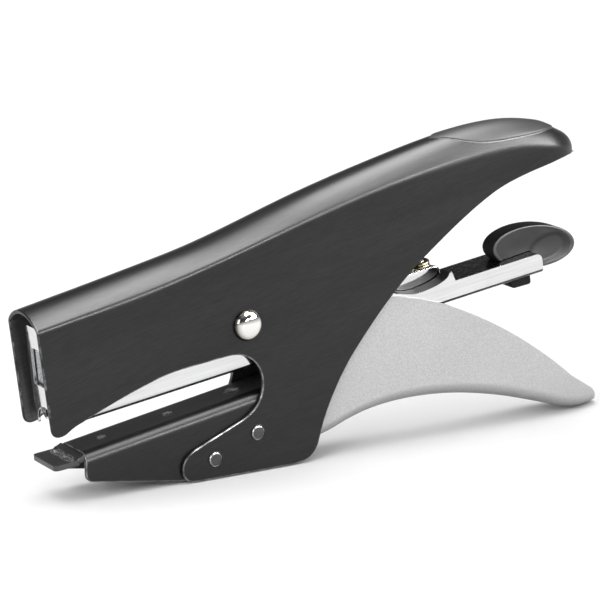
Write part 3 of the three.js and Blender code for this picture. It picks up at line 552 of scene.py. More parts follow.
def silver_lacquer():
    """Silver lacquer: pale, satin, with a fine metallic speckle, and painted shade darkening the
    faces that point down.
    """
    material, tree, shader = new_material("silver_lacquer_paint")
    speckle = noise(tree, 3600, 4.0, 0.8)
    cloud = noise(tree, 35, 2.0)
    # Painted shade: the base colour darkens on faces that point down.
    under = to_range(tree, surface_normal(tree)["Z"], 0.58, 1.0, -0.8, -0.1)
    pale = two_tones(tree, speckle, (0.29, 0.29, 0.292), (0.55, 0.55, 0.552))
    painted_shade_below = add_node(tree, "ShaderNodeMix", data_type="RGBA")
    tree.links.new(under, painted_shade_below.inputs["Factor"])
    painted_shade_below.inputs[6].default_value = (0.03, 0.03, 0.03, 1)
    tree.links.new(pale, painted_shade_below.inputs[7])
    surface(tree, shader, painted_shade_below.outputs[2], to_range(tree, cloud, 0.40, 0.48), 0.35)
    add_bump(tree, shader, speckle, 0.14, 0.00003)
    return material


def chrome():
    """Bright plating over pressed sheet: faint waviness and fine drawing marks."""
    material, tree, shader = new_material("bright_chrome")
    marks = noise(tree, 1.0, vector=grain(tree, 8.4, 60, 1400))
    waves = noise(tree, 240, 2.0)
    tones = two_tones(tree, marks, (0.60, 0.60, 0.605), (0.71, 0.71, 0.715))
    surface(tree, shader, tones, to_range(tree, marks, 0.06, 0.13), 1.0)
    add_bump(tree, shader, waves, 0.10, 0.00012)
    return material


def rivet_plating_painted_sheen():
    """Plating of the domed rivet head, its tone set by which way the surface faces: a painted bright
    reflection on the crown, and a painted dark reflection round the rim where it meets the plate.
    """
    material, tree, shader = new_material("rivet_plating_painted_sheen")
    marks = noise(tree, 700, 3.0)
    # Painted reflection: bright where the dome faces out, dark round its rim.
    crown = arithmetic(tree, "ABSOLUTE", surface_normal(tree)["Y"])
    bright = to_range(tree, crown, 0.3, 0.7, 0.62, 0.93)
    tones = two_tones(tree, bright, (0.09, 0.085, 0.075), (0.80, 0.785, 0.75))
    surface(tree, shader, tones, to_range(tree, marks, 0.06, 0.11), 1.0)
    return material


BLACK = black_brushed("black_brushed_metal", 0.007, 0.016)
# A lighter copy of the black coat: painted light on the jaw's and tongue's top faces, the rivet faces
# and the shell's inner faces.
PAINTED_LIGHT_BLACK = black_brushed("black_coat_painted_light", 0.045, 0.075)
# Lighter still: a painted highlight on the lit side of the jaw's dimples, and partly real rubbing
# round the anvil's pockets.
RUBBED_AND_HIGHLIGHT = black_brushed("black_rubbed_coat_and_highlight", 0.12, 0.42)
WORN = worn_black()
SOFT = soft_black()
SEAM = seam_line()
PLASTIC = black_plastic("black_satin_plastic", 0.018, 0.028, 0.48, 0.34)
# Dull black: the rear clip's own colour, and painted shade on the knob's edge.
WALL = black_plastic("black_dull_plastic", 0.005, 0.009, 0.66, 0.12)
# Painted highlight: a lighter line on the knob's flat rim.
RIM = black_plastic("plastic_rim_painted_highlight", 0.05, 0.09, 0.34, 0.5)
SILVER = silver_lacquer()
CHROME = chrome()
PAINTED_SHEEN_PLATING = rivet_plating_painted_sheen()

# Painted highlight: a bright metal ring on the rivet heads, also on the anvil's pocket rims, where it
# is partly real rubbing.
BRIGHT = metal("ring_painted_highlight", (0.24, 0.24, 0.242), (0.44, 0.44, 0.442), (0.22, 0.34), 1500)

# Painted dark reflection on the arm's plating: a darkened copy of the chrome on the cap and lower
# bends, and a near-black sheet on its fold, standing in for the black horn above and the dark
# underside.
SHADED = metal("shaded_chrome", (0.022, 0.022, 0.023), (0.09, 0.09, 0.092), (0.18, 0.32), 900, 4.0,
               mix=0.7, bump=(0.12, 0.00005))
FOLD = black_plastic("shaded_fold", 0.006, 0.030, 0.46, 0.05)

# Rolled steel of the small inner parts.
STEEL = metal("rolled_steel", (0.42, 0.43, 0.44), (0.58, 0.585, 0.59), (0.22, 0.36),
              stretch=(90, 1800), bump=(0.08, 0.00003))

# Yellow spring wire, a little darker where it has tarnished.
BRASS = metal("brass_wire", (0.26, 0.215, 0.13), (0.56, 0.49, 0.34), (0.18, 0.34), 900)


# ---- frame shell ----

FRAME_HALF = 8.0
HORN_START, HORN_TIP = 143.0, 155.7
crest_at = smooth_line([
    (-6, 46.3), (26, 53.2), (46, 57.9), (75, 67.1), (100, 73.8), (118, 77.7), (133, 79.1),
    (145, 77.8), (151.2, 75.3), (153.8, 73.8), (155.1, 72.2), (155.7, 69.9),
])
bend_at = smooth_line([
    (-6, 42.6), (26, 48.9), (46, 54.2), (75, 62.6), (94, 67.5), (113, 70.9), (133, 73.4),
    (143, 72.7), (150.6, 71), (154.6, 69.8), (155.7, 69.5),
])


def horn_half(station):
    return round_half(station, FRAME_HALF, HORN_START, HORN_TIP, 0.5)


def dome_at(station):
    """(radius, centre height, edge angle) of the domed top at a station."""
    half = horn_half(station)
    rise = max(crest_at(station) - bend_at(station), 0.15)
    radius = (half * half + rise * rise) / (2 * rise)
    return radius, crest_at(station) - radius, asin(min(half / radius, 1))


def dome_section(station):
    """(across, up) points from the near side's soft bend over the top to the far side's."""
    radius, centre, edge = dome_at(station)
    half = horn_half(station)
    soft = min(0.9, half * 0.5)
    turn = edge - soft / radius
    bend = centre + radius * cos(edge)
    arc = (radius * sin(turn), centre + radius * cos(turn))
    near = Path(-half, bend - soft).quad(-half, bend, -arc[0], arc[1], 6).points[:-1]
    for k in range(14):
        a = turn * (1 - k / 14)
        near.append((-radius * sin(a), centre + radius * cos(a)))
    return near + [(0.0, centre + radius)] + [(-y, z) for y, z in reversed(near)]


def front_station(height):
    """The frame's slanted front edge."""
    return 0.7 - (height - 19.4) * 9.2 / 70.6


def frame_underside():
    """Lower edge of the horn, from the throat's rear to past the tip."""
    path = Path(84, 24.8)
    path.cubic(90.6, 33.6, 97.2, 41, 105, 47.4).cubic(112.6, 53.2, 119.4, 58.4, 127, 62.4)
    path.cubic(132, 65, 139, 66.7, 145, 68.1).quad(152, 69.9, 162, 69)
    return path.points


def frame_edge():
    """The side plate's edge from the front, round the throat and the lobe, to the rear."""
    path = Path(0.75, 19)
    path.quad(1, 17.1, 2.7, 17).quad(4.2, 17, 5.6, 18.1).quad(7, 19.1, 9, 19.8)
    path.quad(19.4, 24.4, 29.5, 27.5).quad(32.6, 28.4, 36, 28.9).line(49, 30.4)
    path.cubic(54.8, 31, 58.6, 26.8, 58.6, 22.2).cubic(58.6, 17.6, 56, 15, 51.5, 13.2)
    path.line(40.2, 8.5).cubic(37.2, 7.2, 36, 5.4, 36, 3.6)
    path.cubic(36, 1.2, 37.4, 0, 40, 0).line(66, 0)
    path.cubic(71.2, 0, 73.8, 1.4, 74.8, 4.6).cubic(76.6, 11.6, 79, 17.2, 84, 24.8)
    return path.points


def build_frame_shell():
    stations = even(0, HORN_START, 2.5)
    skin = Skin()
    under = frame_underside()
    rings = []
    first = []
    for y, z in dome_section(-2.6):
        station = -2.6
        for _ in range(4):
            ring = dome_section(station)
            z = min(ring, key=lambda p: abs(p[0] - y))[1]
            station = front_station(z)
        first.append((station, y, z))
    rings.append(first)
    rings += [[(s, y, z) for y, z in dome_section(s)] for s in stations]
    seam = [ring[0] for ring in rings]
    plate = [(x, -FRAME_HALF, z) for x, z in frame_edge()]
    plate += [(x, -FRAME_HALF, z) for x, z in under if x < HORN_START]
    low = height_on(under, HORN_START)
    high = seam[-1][2]
    rise = (high - low) / WALL_ROWS
    plate += [(HORN_START, -FRAME_HALF, low + rise * k) for k in range(WALL_ROWS)]
    plate += list(reversed(seam))
    skin.face(plate)
    nose = [HORN_START] + round_end(HORN_START, HORN_TIP, 16)
    round_nose(skin, rings, nose, dome_section, under, max)
    shell = from_skin("frame_shell_look", skin, on_frame, facing=-1)
    thicken(shell, 1.0, fade_from=151.0)
    soften(shell, 0.34, rolled=1, clamp=False)
    finish_mesh(shell, "frame", ["frame_shell"], "black_brushed", BLACK, WORN, PAINTED_LIGHT_BLACK)
    # The shell's inner faces take the lighter black as painted light.
    shell.modifiers["sheet"].material_offset = 2
    bake(shell)
    tip = on_frame((HORN_TIP, 0, 0)).x
    for vertex in shell.data.vertices:
        vertex.co.x = min(vertex.co.x, tip)


LEAF_FRONT, LEAF_REAR, LEAF_HALF = 112.2, 149.8, 6.9


def leaf_half(station, margin):
    """Half width of the cushion's leaf outline at a station."""
    front, rear = LEAF_FRONT - 1.3 * margin, LEAF_REAR + margin
    half = LEAF_HALF + margin
    path = Path(front, 0)
    path.cubic(front + 5, half * 0.8, 122, half, 131, half, 24)
    path.cubic(141, half, rear - 1, half * 0.72, rear, 0, 24)
    return height_on(path.points, station)


def leaf_patch(margin, lift, edge_width, edge_drop):
    """A leaf laid over the dome: lift above it, rolling down by edge_drop at its rim."""
    front, rear = LEAF_FRONT - 1.3 * margin, LEAF_REAR + margin
    skin = Skin()
    rows = []
    for k in range(61):
        turn = pi * k / 60
        station = (front + rear) / 2 - (rear - front) / 2 * cos(turn)
        half = max(leaf_half(station, margin), 0.02)
        radius, centre, _ = dome_at(station)
        row = []
        for i in range(33):
            share = sin(pi / 2 * (i - 16) / 16)
            across = share * half
            ends = min(station - front, rear - station) * 0.7
            inside = min(half * (1 - abs(share)), ends)
            t = min(max(inside / edge_width, 0), 1)
            height = lift - edge_drop * (1 - sqrt(1 - (1 - t) ** 2))
            a = asin(min(abs(across) / radius, 1)) * (1 if across > 0 else -1)
            reach = radius + height
            row.append((station, reach * sin(a), centre + reach * cos(a)))
        rows.append(row)
    skin.grid(rows)
    return skin


def build_cushion():
    pad = from_skin("horn_cushion_look", leaf_patch(0.0, 0.30, 0.42, 0.32), on_frame)
    finish_mesh(pad, "frame", ["horn_cushion"], "black_soft", SOFT)
    seam = from_skin("horn_cushion_seam", leaf_patch(0.24, 0.06, 0.16, 0.08), on_frame)
    finish_mesh(seam, "frame", [], "black_soft", SEAM)


# ---- lower jaw ----

JAW_HALF, JAW_BEND = 6.85, 2.8
JAW_FRONT, JAW_REAR = 10.3, 67.5


def jaw_top(station):
    return 11.5 + 0.172 * (station - JAW_FRONT)


def jaw_dimple(station, across):
    """Depth of the three punched dimples along the jaw's top."""
    depth = 0.0
    for centre, size in ((18.0, 1.5), (36.3, 1.6), (54.3, 2.4)):
        reach = hypot(station - centre, across)
        depth += 0.5 * (1 - smooth_step((reach - 0.25 * size) / (0.65 * size)))
    return depth


def build_lower_jaw():
    stations = even(JAW_FRONT, JAW_REAR, 0.45)
    skin = Skin()
    path = Path(JAW_FRONT, 6.2).quad(JAW_FRONT + 0.1, 4.6, 12, 4.2).line(36, 0.5)
    path.line(JAW_REAR - 2, 0.5).quad(JAW_REAR, 0.5, JAW_REAR, 3)
    plate = [(x, -JAW_HALF, z) for x, z in path.points]
    plate += [(s, -JAW_HALF, jaw_top(s) - JAW_BEND) for s in reversed(stations)]
    skin.face(plate)
    skin.mirror()
    rows = []
    flat = JAW_HALF - JAW_BEND
    for s in stations:
        row = []
        for k in range(8):
            a = pi / 2 * k / 8
            row.append((s, -flat - JAW_BEND * cos(a),
                        jaw_top(s) - JAW_BEND + JAW_BEND * sin(a)))
        for k in range(11):
            across = -flat + flat * k / 10
            row.append((s, across, jaw_top(s) - jaw_dimple(s, across)))
        row += [(x, -y, z) for x, y, z in reversed(row[:-1])]
        rows.append(row)
    skin.grid(rows)
    jaw = from_skin("lower_jaw_look", skin, on_frame, facing=-1)
    thicken(jaw, 1.2)
    soften(jaw, 0.25, angle=48, rolled=1)
    finish_mesh(jaw, "frame", ["lower_jaw"], "black_brushed", BLACK, WORN, PAINTED_LIGHT_BLACK, RUBBED_AND_HIGHLIGHT)
    # Painted light: the jaw's flat top takes the lighter black, and the lit far side of each dimple a
    # painted highlight.
    for face in jaw.data.polygons:
        x, y, _ = (face.center - PIVOT) / MM
        lit = y > 0.1 and 0.03 < jaw_dimple(x + PIVOT_STATION, y) < 0.44
        if abs(y) < flat:
            face.material_index = 3 if lit else 2


POCKET = 2.35


def pocket_reach(station, across, centre):
    """Distance from a forming pocket's middle, 1 at its edge."""
    return hypot((station - 7.3) / 0.75, (across - centre) / 2.0)


def anvil_top(station, across):
    """Top of the tongue: gentle rise, two forming pockets with raised rims, and the ramp."""
    base = 9.4 + (station - 2.3) * 0.75 / 7.9
    ramp = 0.42 * smooth_step((station - 8.0) / 0.5) + 0.5 * smooth_step((station - 8.6) / 1.6)
    bumps = 0.0
    for centre in (-POCKET, POCKET):
        reach = pocket_reach(station, across, centre)
        bumps -= 0.5 * (1 - smooth_step((reach - 0.35) / 0.6))
        bumps += 0.2 * exp(-((reach - 1.15) / 0.22) ** 2)
    return base + ramp + bumps


def build_anvil():
    tip, corner, half, root = 2.3, 1.2, 6.1, 4.5
    skin = Skin()
    rows = []
    stations = round_end(tip + corner, tip, 6)[::-1] + even(tip + corner, 10.2, 0.2)
    for s in stations:
        reach = max(tip + corner - s, 0)
        side = half - corner + sqrt(max(corner * corner - reach * reach, 0))
        rows.append([(s, y, anvil_top(s, y)) for y in (side * k / 24 for k in range(-24, 25))])
    skin.grid(rows)
    tongue = from_skin("anvil_tongue_look", skin, on_frame)
    if sum(p.normal.z for p in tongue.data.polygons) < 0:
        tongue.data.flip_normals()
    thicken(tongue, 1.3)
    tongue.modifiers["sheet"].material_offset_rim = -1
    soften(tongue, 0.18, angle=50, rolled=1)
    finish_mesh(tongue, "frame", ["anvil_plate"], "black_brushed", PAINTED_LIGHT_BLACK, WORN, RUBBED_AND_HIGHLIGHT, BRIGHT)
    # Painted light on the tongue: lighter black on its top, painted highlights round the pockets,
    # partly real rubbing.
    for face in tongue.data.polygons:
        place = (face.center - PIVOT) / MM
        reach = pocket_reach(place.x + PIVOT_STATION, abs(place.y), POCKET)
        face.material_index = 3 if 1.0 < reach < 1.3 else 2 if 0.6 < reach < 1.6 else 0
    rear = jaw_top(27.0) - 1.4
    outline = [(9.9, 8.86), (9.9, 10.1), (27, rear), (27, rear - 1.3)]
    foot = prism("anvil_root_look", outline, root, on_frame)
    finish_mesh(foot, "frame", [], "black_brushed", BLACK)


# ---- rivets ----

def build_rivets():
    heads = {"jaw_rivet_front": (45.1, 5), "jaw_rivet_rear": (57.2, 9.9)}
    for name, centre in heads.items():
        half = [(1.5, 8), (2.02, 8.02), (2.02, 8.16), (1.93, 8.2), (1.82, 8.16), (1.74, 8.05),
                (1.68, 8.08), (1.62, 8.24), (1.5, 8.33), (1.3, 8.36), (0.7, 8.38), (0, 8.39)]
        profile = [(r, -y) for r, y in reversed(half)] + half
        piece = turned(name + "_look", profile, centre)
        finish_mesh(piece, "frame", [name], "black_brushed", BLACK, BRIGHT, PAINTED_LIGHT_BLACK)
        middle = on_frame((centre[0], 0, centre[1]))
        # Rivet faces take the lighter black as painted light, and a painted highlight ring.
        for face in piece.data.polygons:
            reach = Vector((face.center.x - middle.x, 0, face.center.z - middle.z)).length / MM
            face.material_index = 1 if 1.42 < reach < 1.76 else 2 if reach < 1.42 else 0
    half = [(2.4, 7.9), (3.75, 7.97), (3.9, 8.03)]
    for k in range(1, 33):
        a = pi / 2 * k / 32
        half.append((3.94 * cos(a), 8.05 + 2.25 * sin(a)))
    profile = [(r, -y) for r, y in reversed(half)] + half
    piece = turned("pivot_rivet_look", profile, (PIVOT_STATION, PIVOT_HEIGHT), 160)
    finish_mesh(piece, "frame", ["pivot_rivet"], "chrome", PAINTED_SHEEN_PLATING)


def build_spring_bracket():
    outline = [(101, 57), (112.4, 59.6), (112.1, 60.8), (101.6, 58.4), (101.6, 63.4),
               (100.4, 63.4), (100.4, 57.8)]
    bracket = prism("spring_bracket_look", outline, 6.9, on_frame)
    finish_mesh(bracket, "frame", ["spring_bracket"], "steel", STEEL)
    profile = [(0, 10.9), (0.5, 10.92), (0.8, 11.15), (0.9, 11.5), (0.9, 13), (0, 13)]
    peg = upright("spring_bracket_peg", profile, RETURN_SPRING, on_magazine)
    finish_mesh(peg, "frame", [], "steel", STEEL)


# ---- handle ----

HANDLE_HALF, HANDLE_BEND = 6.75, 3.6
HANDLE_START, HANDLE_TIP = 147.0, 165.7
spine_at = smooth_line([
    (64, 3), (72, 4), (79, 5.6), (85, 7.8), (92, 9.7), (101, 10.7), (111, 10.6), (121, 9.5),
    (133, 7), (145, 3.5), (152, 1.25), (157.5, 0.2), (161.5, 0.05), (165.8, 0.35),
])


def handle_top():
    """Upper edge of the grip from above the pivot to past the tip."""
    path = Path(66, 47.4)
    path.cubic(78, 46.6, 82, 41, 92, 39.6).cubic(100, 38.6, 108, 36.8, 114, 34.4)
    path.cubic(122, 31.2, 130, 27, 137.2, 22.3).cubic(144.4, 17.6, 149.4, 13.6, 154, 9.8)
    path.line(161.6, 5.2).quad(164.4, 3.5, 166.4, -0.3)
    return path.points


def handle_front():
    """Hidden front edge: up behind the throat, out along the arm and back over the pivot."""
    path = Path(70.6, 9)
    path.line(70.6, 18).quad(70, 29, 60, 30.4).line(54, 30.6).quad(49.5, 30.2, 45.5, 32.4)
    path.line(4.6, 36.2).quad(2.6, 38.6, 3.8, 41.6).line(46, 47.2).line(54, 47)
    return path.points


def handle_section(station):
    """(across, up) from the near wall's foot round the spine to the far wall's."""
    half = round_half(station, HANDLE_HALF, HANDLE_START, HANDLE_TIP, 0.3)
    bend = min(HANDLE_BEND, half * 0.95)
    low = spine_at(station)
    near = []
    for k in range(9):
        a = pi / 2 * k / 8
        near.append((-half + bend - bend * cos(a), low + bend - bend * sin(a)))
    return near + [(-y, z) for y, z in reversed(near)]


def build_handle():
    top = handle_top()
    skin = Skin()
    stations = even(70.6, HANDLE_START, 2.0)
    rings = [[(s, y, z) for y, z in handle_section(s)] for s in stations]
    seam = [ring[0] for ring in rings]
    plate = [(x, -HANDLE_HALF, z) for x, z in handle_front()[1:]]
    plate += [(x, -HANDLE_HALF, z) for x, z in top if x < HANDLE_START]
    high, low = height_on(top, HANDLE_START), seam[-1][2]
    drop = (high - low) / WALL_ROWS
    plate += [(HANDLE_START, -HANDLE_HALF, high - drop * k) for k in range(WALL_ROWS)]
    plate += list(reversed(seam))
    skin.face(plate)
    nose = [HANDLE_START] + round_end(HANDLE_START, HANDLE_TIP, 18)
    round_nose(skin, rings, nose, handle_section, top, min)
    shell = from_skin("handle_shell_look", skin, on_frame, facing=-1)
    thicken(shell, 1.0, fade_from=160.0)
    soften(shell, 0.25)
    finish_mesh(shell, "handle", ["handle_shell"], "silver_lacquer", SILVER)
    outline = [(3.8, 41.6), (3.9, 40.6), (32, 44.3), (32, 45.35)]
    bridge = prism("handle_bridge_look", outline, 6.0, on_frame)
    finish_mesh(bridge, "handle", [], "silver_lacquer", SILVER)


def build_handle_spring():
    """The cup and coil stand square on the inside of the spine."""
    station = 88.0
    lean = atan((spine_at(station + 3) - spine_at(station - 3)) / 6)
    seat = spine_at(station) + 1.4

    def place(point):
        along, up = rotated(point[0], point[2], lean)
        return on_frame((station + along, point[1], seat + up))

    profile = [(0, 0), (3.9, 0), (4.1, 0.1), (4.2, 0.3), (4.2, 2.1), (4, 2.2), (3.85, 2.1),
               (3.8, 1), (2.4, 1), (2.25, 1.2), (2.2, 3.8), (1.9, 4.2), (0, 4.35)]
    cup = upright("handle_spring_cup_look", profile, 0, place)
    finish_mesh(cup, "handle", ["handle_spring_cup"], "steel", STEEL)
    line = helix(1.5, 18.4, 3.1, 7, place)
    spring = tube("handle_spring_look", line, 0.42)
    finish_mesh(spring, "handle", ["handle_spring"], "steel", STEEL)
    up = place((0, 0, 1)) - place((0, 0, 0))
    tuple(place((0, 0, 1.0)))
    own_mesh(spring)


# ---- magazine ----

MAG_HALF, MAG_SHEET = 5.6, 0.7
MAG_FRONT, MAG_REAR, MAG_FLOOR = -52.3, 89.5, -12.0
CAP_FRONT, CAP_TOP = 62.4, -6.6


def dip_edge():
    """The S-shaped top edge between the cap and the pivot, from the rear forwards."""
    path = Path(61.7, -4.2)
    path.quad(61, -3.8, 60.6, -4.6, 6).cubic(59.8, -6, 55.5, -6.7, 51.5, -6.8)
    path.cubic(47.5, -6.9, 44, -3.9, 37, -3.8)
    return path.points


def build_magazine():
    skin = Skin()
    bend = 1.4
    cap = [(CAP_FRONT, CAP_TOP)] + [(u, CAP_TOP) for u in (70, 80, MAG_REAR - 2)]
    rear = Path(MAG_REAR - 2, CAP_TOP).quad(MAG_REAR, CAP_TOP, MAG_REAR, CAP_TOP - 2, 6)
    rear.line(MAG_REAR, MAG_FLOOR + bend)
    dip = dip_edge()
    wall_top, ear_radius = -3.6, 5.4
    ear = Path(37, -3.8)
    ear.line(8.4, wall_top).quad(5.8, -3.2, ear_radius, 0, 8)
    for k in range(1, 17):
        a = pi * k / 16
        ear.line(ear_radius * cos(a), ear_radius * sin(a))
    ear.quad(-5.8, -3.2, -8.4, wall_top, 8).line(MAG_FRONT, wall_top)
    exit_edge = MAG_FRONT + 1.2
    wall = [(MAG_FRONT, MAG_FLOOR + bend), (exit_edge, MAG_FLOOR + bend)] + rear.points[::-1]
    wall += cap[::-1][1:] + dip + ear.points[1:]
    skin.face([(u, -MAG_HALF, v) for u, v in wall])
    flange = [p for p in dip if p[0] > 44.6]
    skin.grid([[(u, -MAG_HALF, v) for u, v in flange], [(u, -1.5, v) for u, v in flange]])
    rows = []
    for u in (exit_edge, MAG_REAR):
        row = []
        for k in range(7):
            a = pi / 2 * k / 6
            row.append((u, -MAG_HALF + bend - bend * cos(a),
                        MAG_FLOOR + bend - bend * sin(a)))
        row.append((u, 0.0, MAG_FLOOR))
        rows.append(row)
    skin.grid(rows)
    over = rear.points[:7]
    lid = cap + over[1:]
    skin.grid([[(u, -MAG_HALF, v) for u, v in lid], [(u, 0.0, v) for u, v in lid]])
    skin.mirror()
    channel = from_skin("magazine_channel_look", skin, on_magazine, facing=-1)
    thicken(channel, MAG_SHEET)
    soften(channel, 0.3)
    finish_mesh(channel, "magazine", ["magazine_channel"], "chrome", CHROME, SHADED, FOLD)
    # Painted dark reflection: darkened chrome on the lower bends and the cap, a near-black sheet on
    # the fold.
    for face in channel.data.polygons:
        u, _, v = in_magazine(face.center)
        upper = abs(face.normal.y) < 0.3 and v > -8 and u > 36
        bent = 0.1 < abs(face.normal.y) < 0.97 and v < MAG_FLOOR + bend
        face.material_index = 1 if bent else 0
        if upper:
            face.material_index = 2 if u < CAP_FRONT else 1


def add_loop(outline, curve):
    spline = curve.splines.new("POLY")
    spline.points.add(len(outline) - 1)
    for point, (x, z) in zip(spline.points, outline):
        point.co = (x * MM, z * MM, 0, 1)
    spline.use_cyclic_u = True


def build_nose():
    """The front plate: sight slot, wide half-round mouth and two short prongs."""
    half, floor, mouth = 5.2, MAG_FLOOR, 4.5
    gap, sheet, round_edge = 0.1, 0.7, 0.08
    outline = [(-half, floor - 0.3), (-half + 0.5, floor - 0.3)]
    for k in range(21):
        a = pi * (1 - k / 20)
        outline.append((mouth * cos(a), floor + 0.1 + mouth * sin(a)))
    outline += [(half - 0.5, floor - 0.3), (half, floor - 0.3), (half, -6), (3.4, 12.2),
                (2.6, 13), (-2.6, 13), (-3.4, 12.2), (-half, -6)]
    slot = Path(-3.2, -1.4).quad(-3.2, -2, -2.6, -2, 5).line(2.6, -2)
    slot.quad(3.2, -2, 3.2, -1.4, 5).line(2.3, 6.8).quad(2.3, 7.4, 1.7, 7.4, 5)
    slot.line(-1.7, 7.4).quad(-2.3, 7.4, -2.3, 6.8, 5)
    curve = bpy.data.curves.new("nose_outline", "CURVE")
    curve.dimensions = "2D"
    curve.fill_mode = "BOTH"
    curve.extrude = (sheet / 2 - round_edge) * MM
    curve.bevel_depth = round_edge * MM
    curve.bevel_resolution = 2
    curve.offset = -round_edge * MM
    add_loop(outline, curve)
    add_loop(slot.points, curve)
    draft = into_scene("nose_draft", curve)
    bpy.context.view_layer.update()
    ready = draft.evaluated_get(bpy.context.evaluated_depsgraph_get())
    mesh = bpy.data.meshes.new_from_object(ready)
    bpy.data.objects.remove(draft)
    u = MAG_FRONT - gap - sheet / 2
    for vertex in mesh.vertices:
        y, v, depth = vertex.co / MM
        vertex.co = on_magazine((u + depth, y, v))
    mesh.name = "nose_plate_look"
    plate = into_scene("nose_plate_look", mesh)
    clean(mesh, MERGE_CORNERS)
    mesh.shade_flat()
    finish_mesh(plate, "magazine", ["nose_plate"], "chrome", CHROME)


def build_spring_seat():
    outline = Path(46.5, -6.95).line(60.1, -6.95).line(60.9, -6.2).line(60.9, -3.9)
    outline.quad(60.9, -3.3, 60.2, -3.1).line(58.9, -2.8).line(46.5, -2.8)
    seat = prism("spring_seat_look", outline.points, 1.1, on_magazine, 0.2)
    finish_mesh(seat, "magazine", ["spring_seat"], "chrome", CHROME)
    profile = [(0, -2.9), (1, -2.9), (1, -0.7), (0.85, -0.5), (0, -0.45)]
    peg = upright("spring_seat_peg", profile, RETURN_SPRING, on_magazine)
    finish_mesh(peg, "magazine", [], "chrome", CHROME)

    def over_seat(point):
        return on_magazine((RETURN_SPRING + point[0], point[1], point[2]))

    line = helix(-2.35, 10.8, 2.05, 6.5, over_seat, closed=2.4)
    spring = tube("return_spring_look", line, 0.38, 12)
    finish_mesh(spring, "magazine", ["return_spring"], "brass", BRASS)
    up = on_magazine((0, 0, 1)) - on_magazine((0, 0, 0))
    tuple(on_magazine((RETURN_SPRING, 0, -2.7)))
    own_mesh(spring)


def build_rear_clip():
    outline = Path(80, -12.05).line(80.5, -13.8).quad(80.9, -14.5, 81.8, -14.6)
    outline.line(86.1, -14.75).quad(86.8, -14.7, 86.8, -13.9).line(86.8, -12.05)
    clip = prism("rear_clip_look", outline.points, 3.4, on_magazine, 0.35)
    finish_mesh(clip, "magazine", ["rear_clip"], "black_plastic", WALL)


# ---- pusher ----

KNOB = (89.5, -5.5)
KNOB_TILT = radians(-11.8)
KNOB_SIZE = (13.1, 5.7, 2.6)
CHEEK = 0.9
ROD_HEIGHT = -9.0


def knob_face(share):
    """Half thickness at a share of the radius: dished cheek, narrow flat rim, tight round edge."""
    thick, roll = KNOB_SIZE[2], 0.055
    if share < CHEEK:
        return thick - 0.4 - 0.6 * (1 - smooth_step(share / CHEEK))
    if share < 1 - roll:
        return thick - 0.4 * (1 - smooth_step((share - CHEEK) / 0.025))
    t = (share - 1 + roll) / roll
    return thick - 0.55 * (1 - sqrt(max(1 - t * t, 0)))


def thumb_hollow(x, z, share):
    """Shallow scoop in the rear half of each cheek."""
    reach = hypot((x - 7.5) / 10.0, (z + 2.0) / 6.5)
    return 0.9 * (1 - smooth_step((reach - 0.62) / 0.3)) * (1 - smooth_step((share - 0.74) / 0.16))


def build_knob():
    """Oval paddle with dished cheeks, notched where it stands over the arm's cap."""
    long, short, _ = KNOB_SIZE
    sides = 120
    shares = [k / 30 * CHEEK for k in range(31)]
    shares += [0.908, 0.916, 0.925, 0.945, 0.96, 0.972, 0.983, 0.992, 0.998, 1.0]
    profile = [(s, -1) for s in shares] + [(s, 1) for s in reversed(shares)]
    skin = Skin()
    rows = []
    for share, cheek in profile:
        row = []
        for k in range(sides + 1):
            a = 2 * pi * k / sides
            x, z = long * share * cos(a), short * share * sin(a)
            y = cheek * (knob_face(share) - thumb_hollow(x, z, share))
            u, v = rotated(x, z, KNOB_TILT)
            row.append((KNOB[0] + u, y, KNOB[1] + v))
        rows.append(row)
    skin.grid(rows)
    knob = from_skin("pusher_knob_look", skin, on_magazine)
    outline = Path(60, -30).line(60, -6.45).line(87.6, -6.45)
    outline.quad(89.65, -6.45, 89.65, -8.6).line(89.65, -30)
    cutter = prism("knob_notch", outline.points, 6, on_magazine)
    cutter.modifiers.clear()
    cut = knob.modifiers.new("notch", "BOOLEAN")
    cut.object = cutter
    cut.operation = "DIFFERENCE"
    cut.solver = "EXACT"
    bake(knob)
    bpy.data.objects.remove(cutter)
    knob.data.set_sharp_from_angle(angle=radians(50))
    finish_mesh(knob, "pusher", ["pusher_knob"], "black_plastic", PLASTIC, WALL, RIM)
    # Painted shade on the knob's edge, and a painted highlight on its flat rim.
    for face in knob.data.polygons:
        u, _, v = in_magazine(face.center)
        x, z = rotated(u - KNOB[0], v - KNOB[1], -KNOB_TILT)
        share = hypot(x / long, z / short)
        outer = abs(face.center.y) / MM > 0.6 * KNOB_SIZE[2]
        face.material_index = 1 if share > 0.985 else 2 if share > CHEEK and outer else 0


def build_pusher():
    line = [on_magazine((u, 0, ROD_HEIGHT)) for u in even(-17.9, 94.5, 6)]
    rod = tube("pusher_rod_look", line, 0.9, 20)
    finish_mesh(rod, "pusher", ["pusher_rod"], "steel", STEEL)
    axis = on_magazine((1, 0, 0)) - on_magazine((0, 0, 0))

    def lying(point):
        across_v, across_y, along = point
        return on_magazine((along, across_y, ROD_HEIGHT + across_v))

    line = helix(-13.4, 50.0, 1.7, 20, lying, per_turn=18)
    spring = tube("pusher_spring_look", line, 0.28, 8)
    finish_mesh(spring, "pusher", ["pusher_spring"], "steel", STEEL)
    tuple(on_magazine((-13.6, 0, ROD_HEIGHT)))
    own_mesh(spring)


# ---- inner CAD nodes ----

def finish_inner_nodes():
    """The small inner parts keep their CAD shape and get their own surface."""
    steel = ("staple_rail", "staple_strip", "driver_blade", "driver_carrier", "driver_pin")
    for name in steel + ("guide_block", "pusher_shoe"):
        mesh = nodes[name].data
        mesh.materials.clear()
        mesh.materials.append(STEEL if name in steel else PLASTIC)


# ---- stage, light and camera ----

MIDDLE = (0, 0, 0.04)


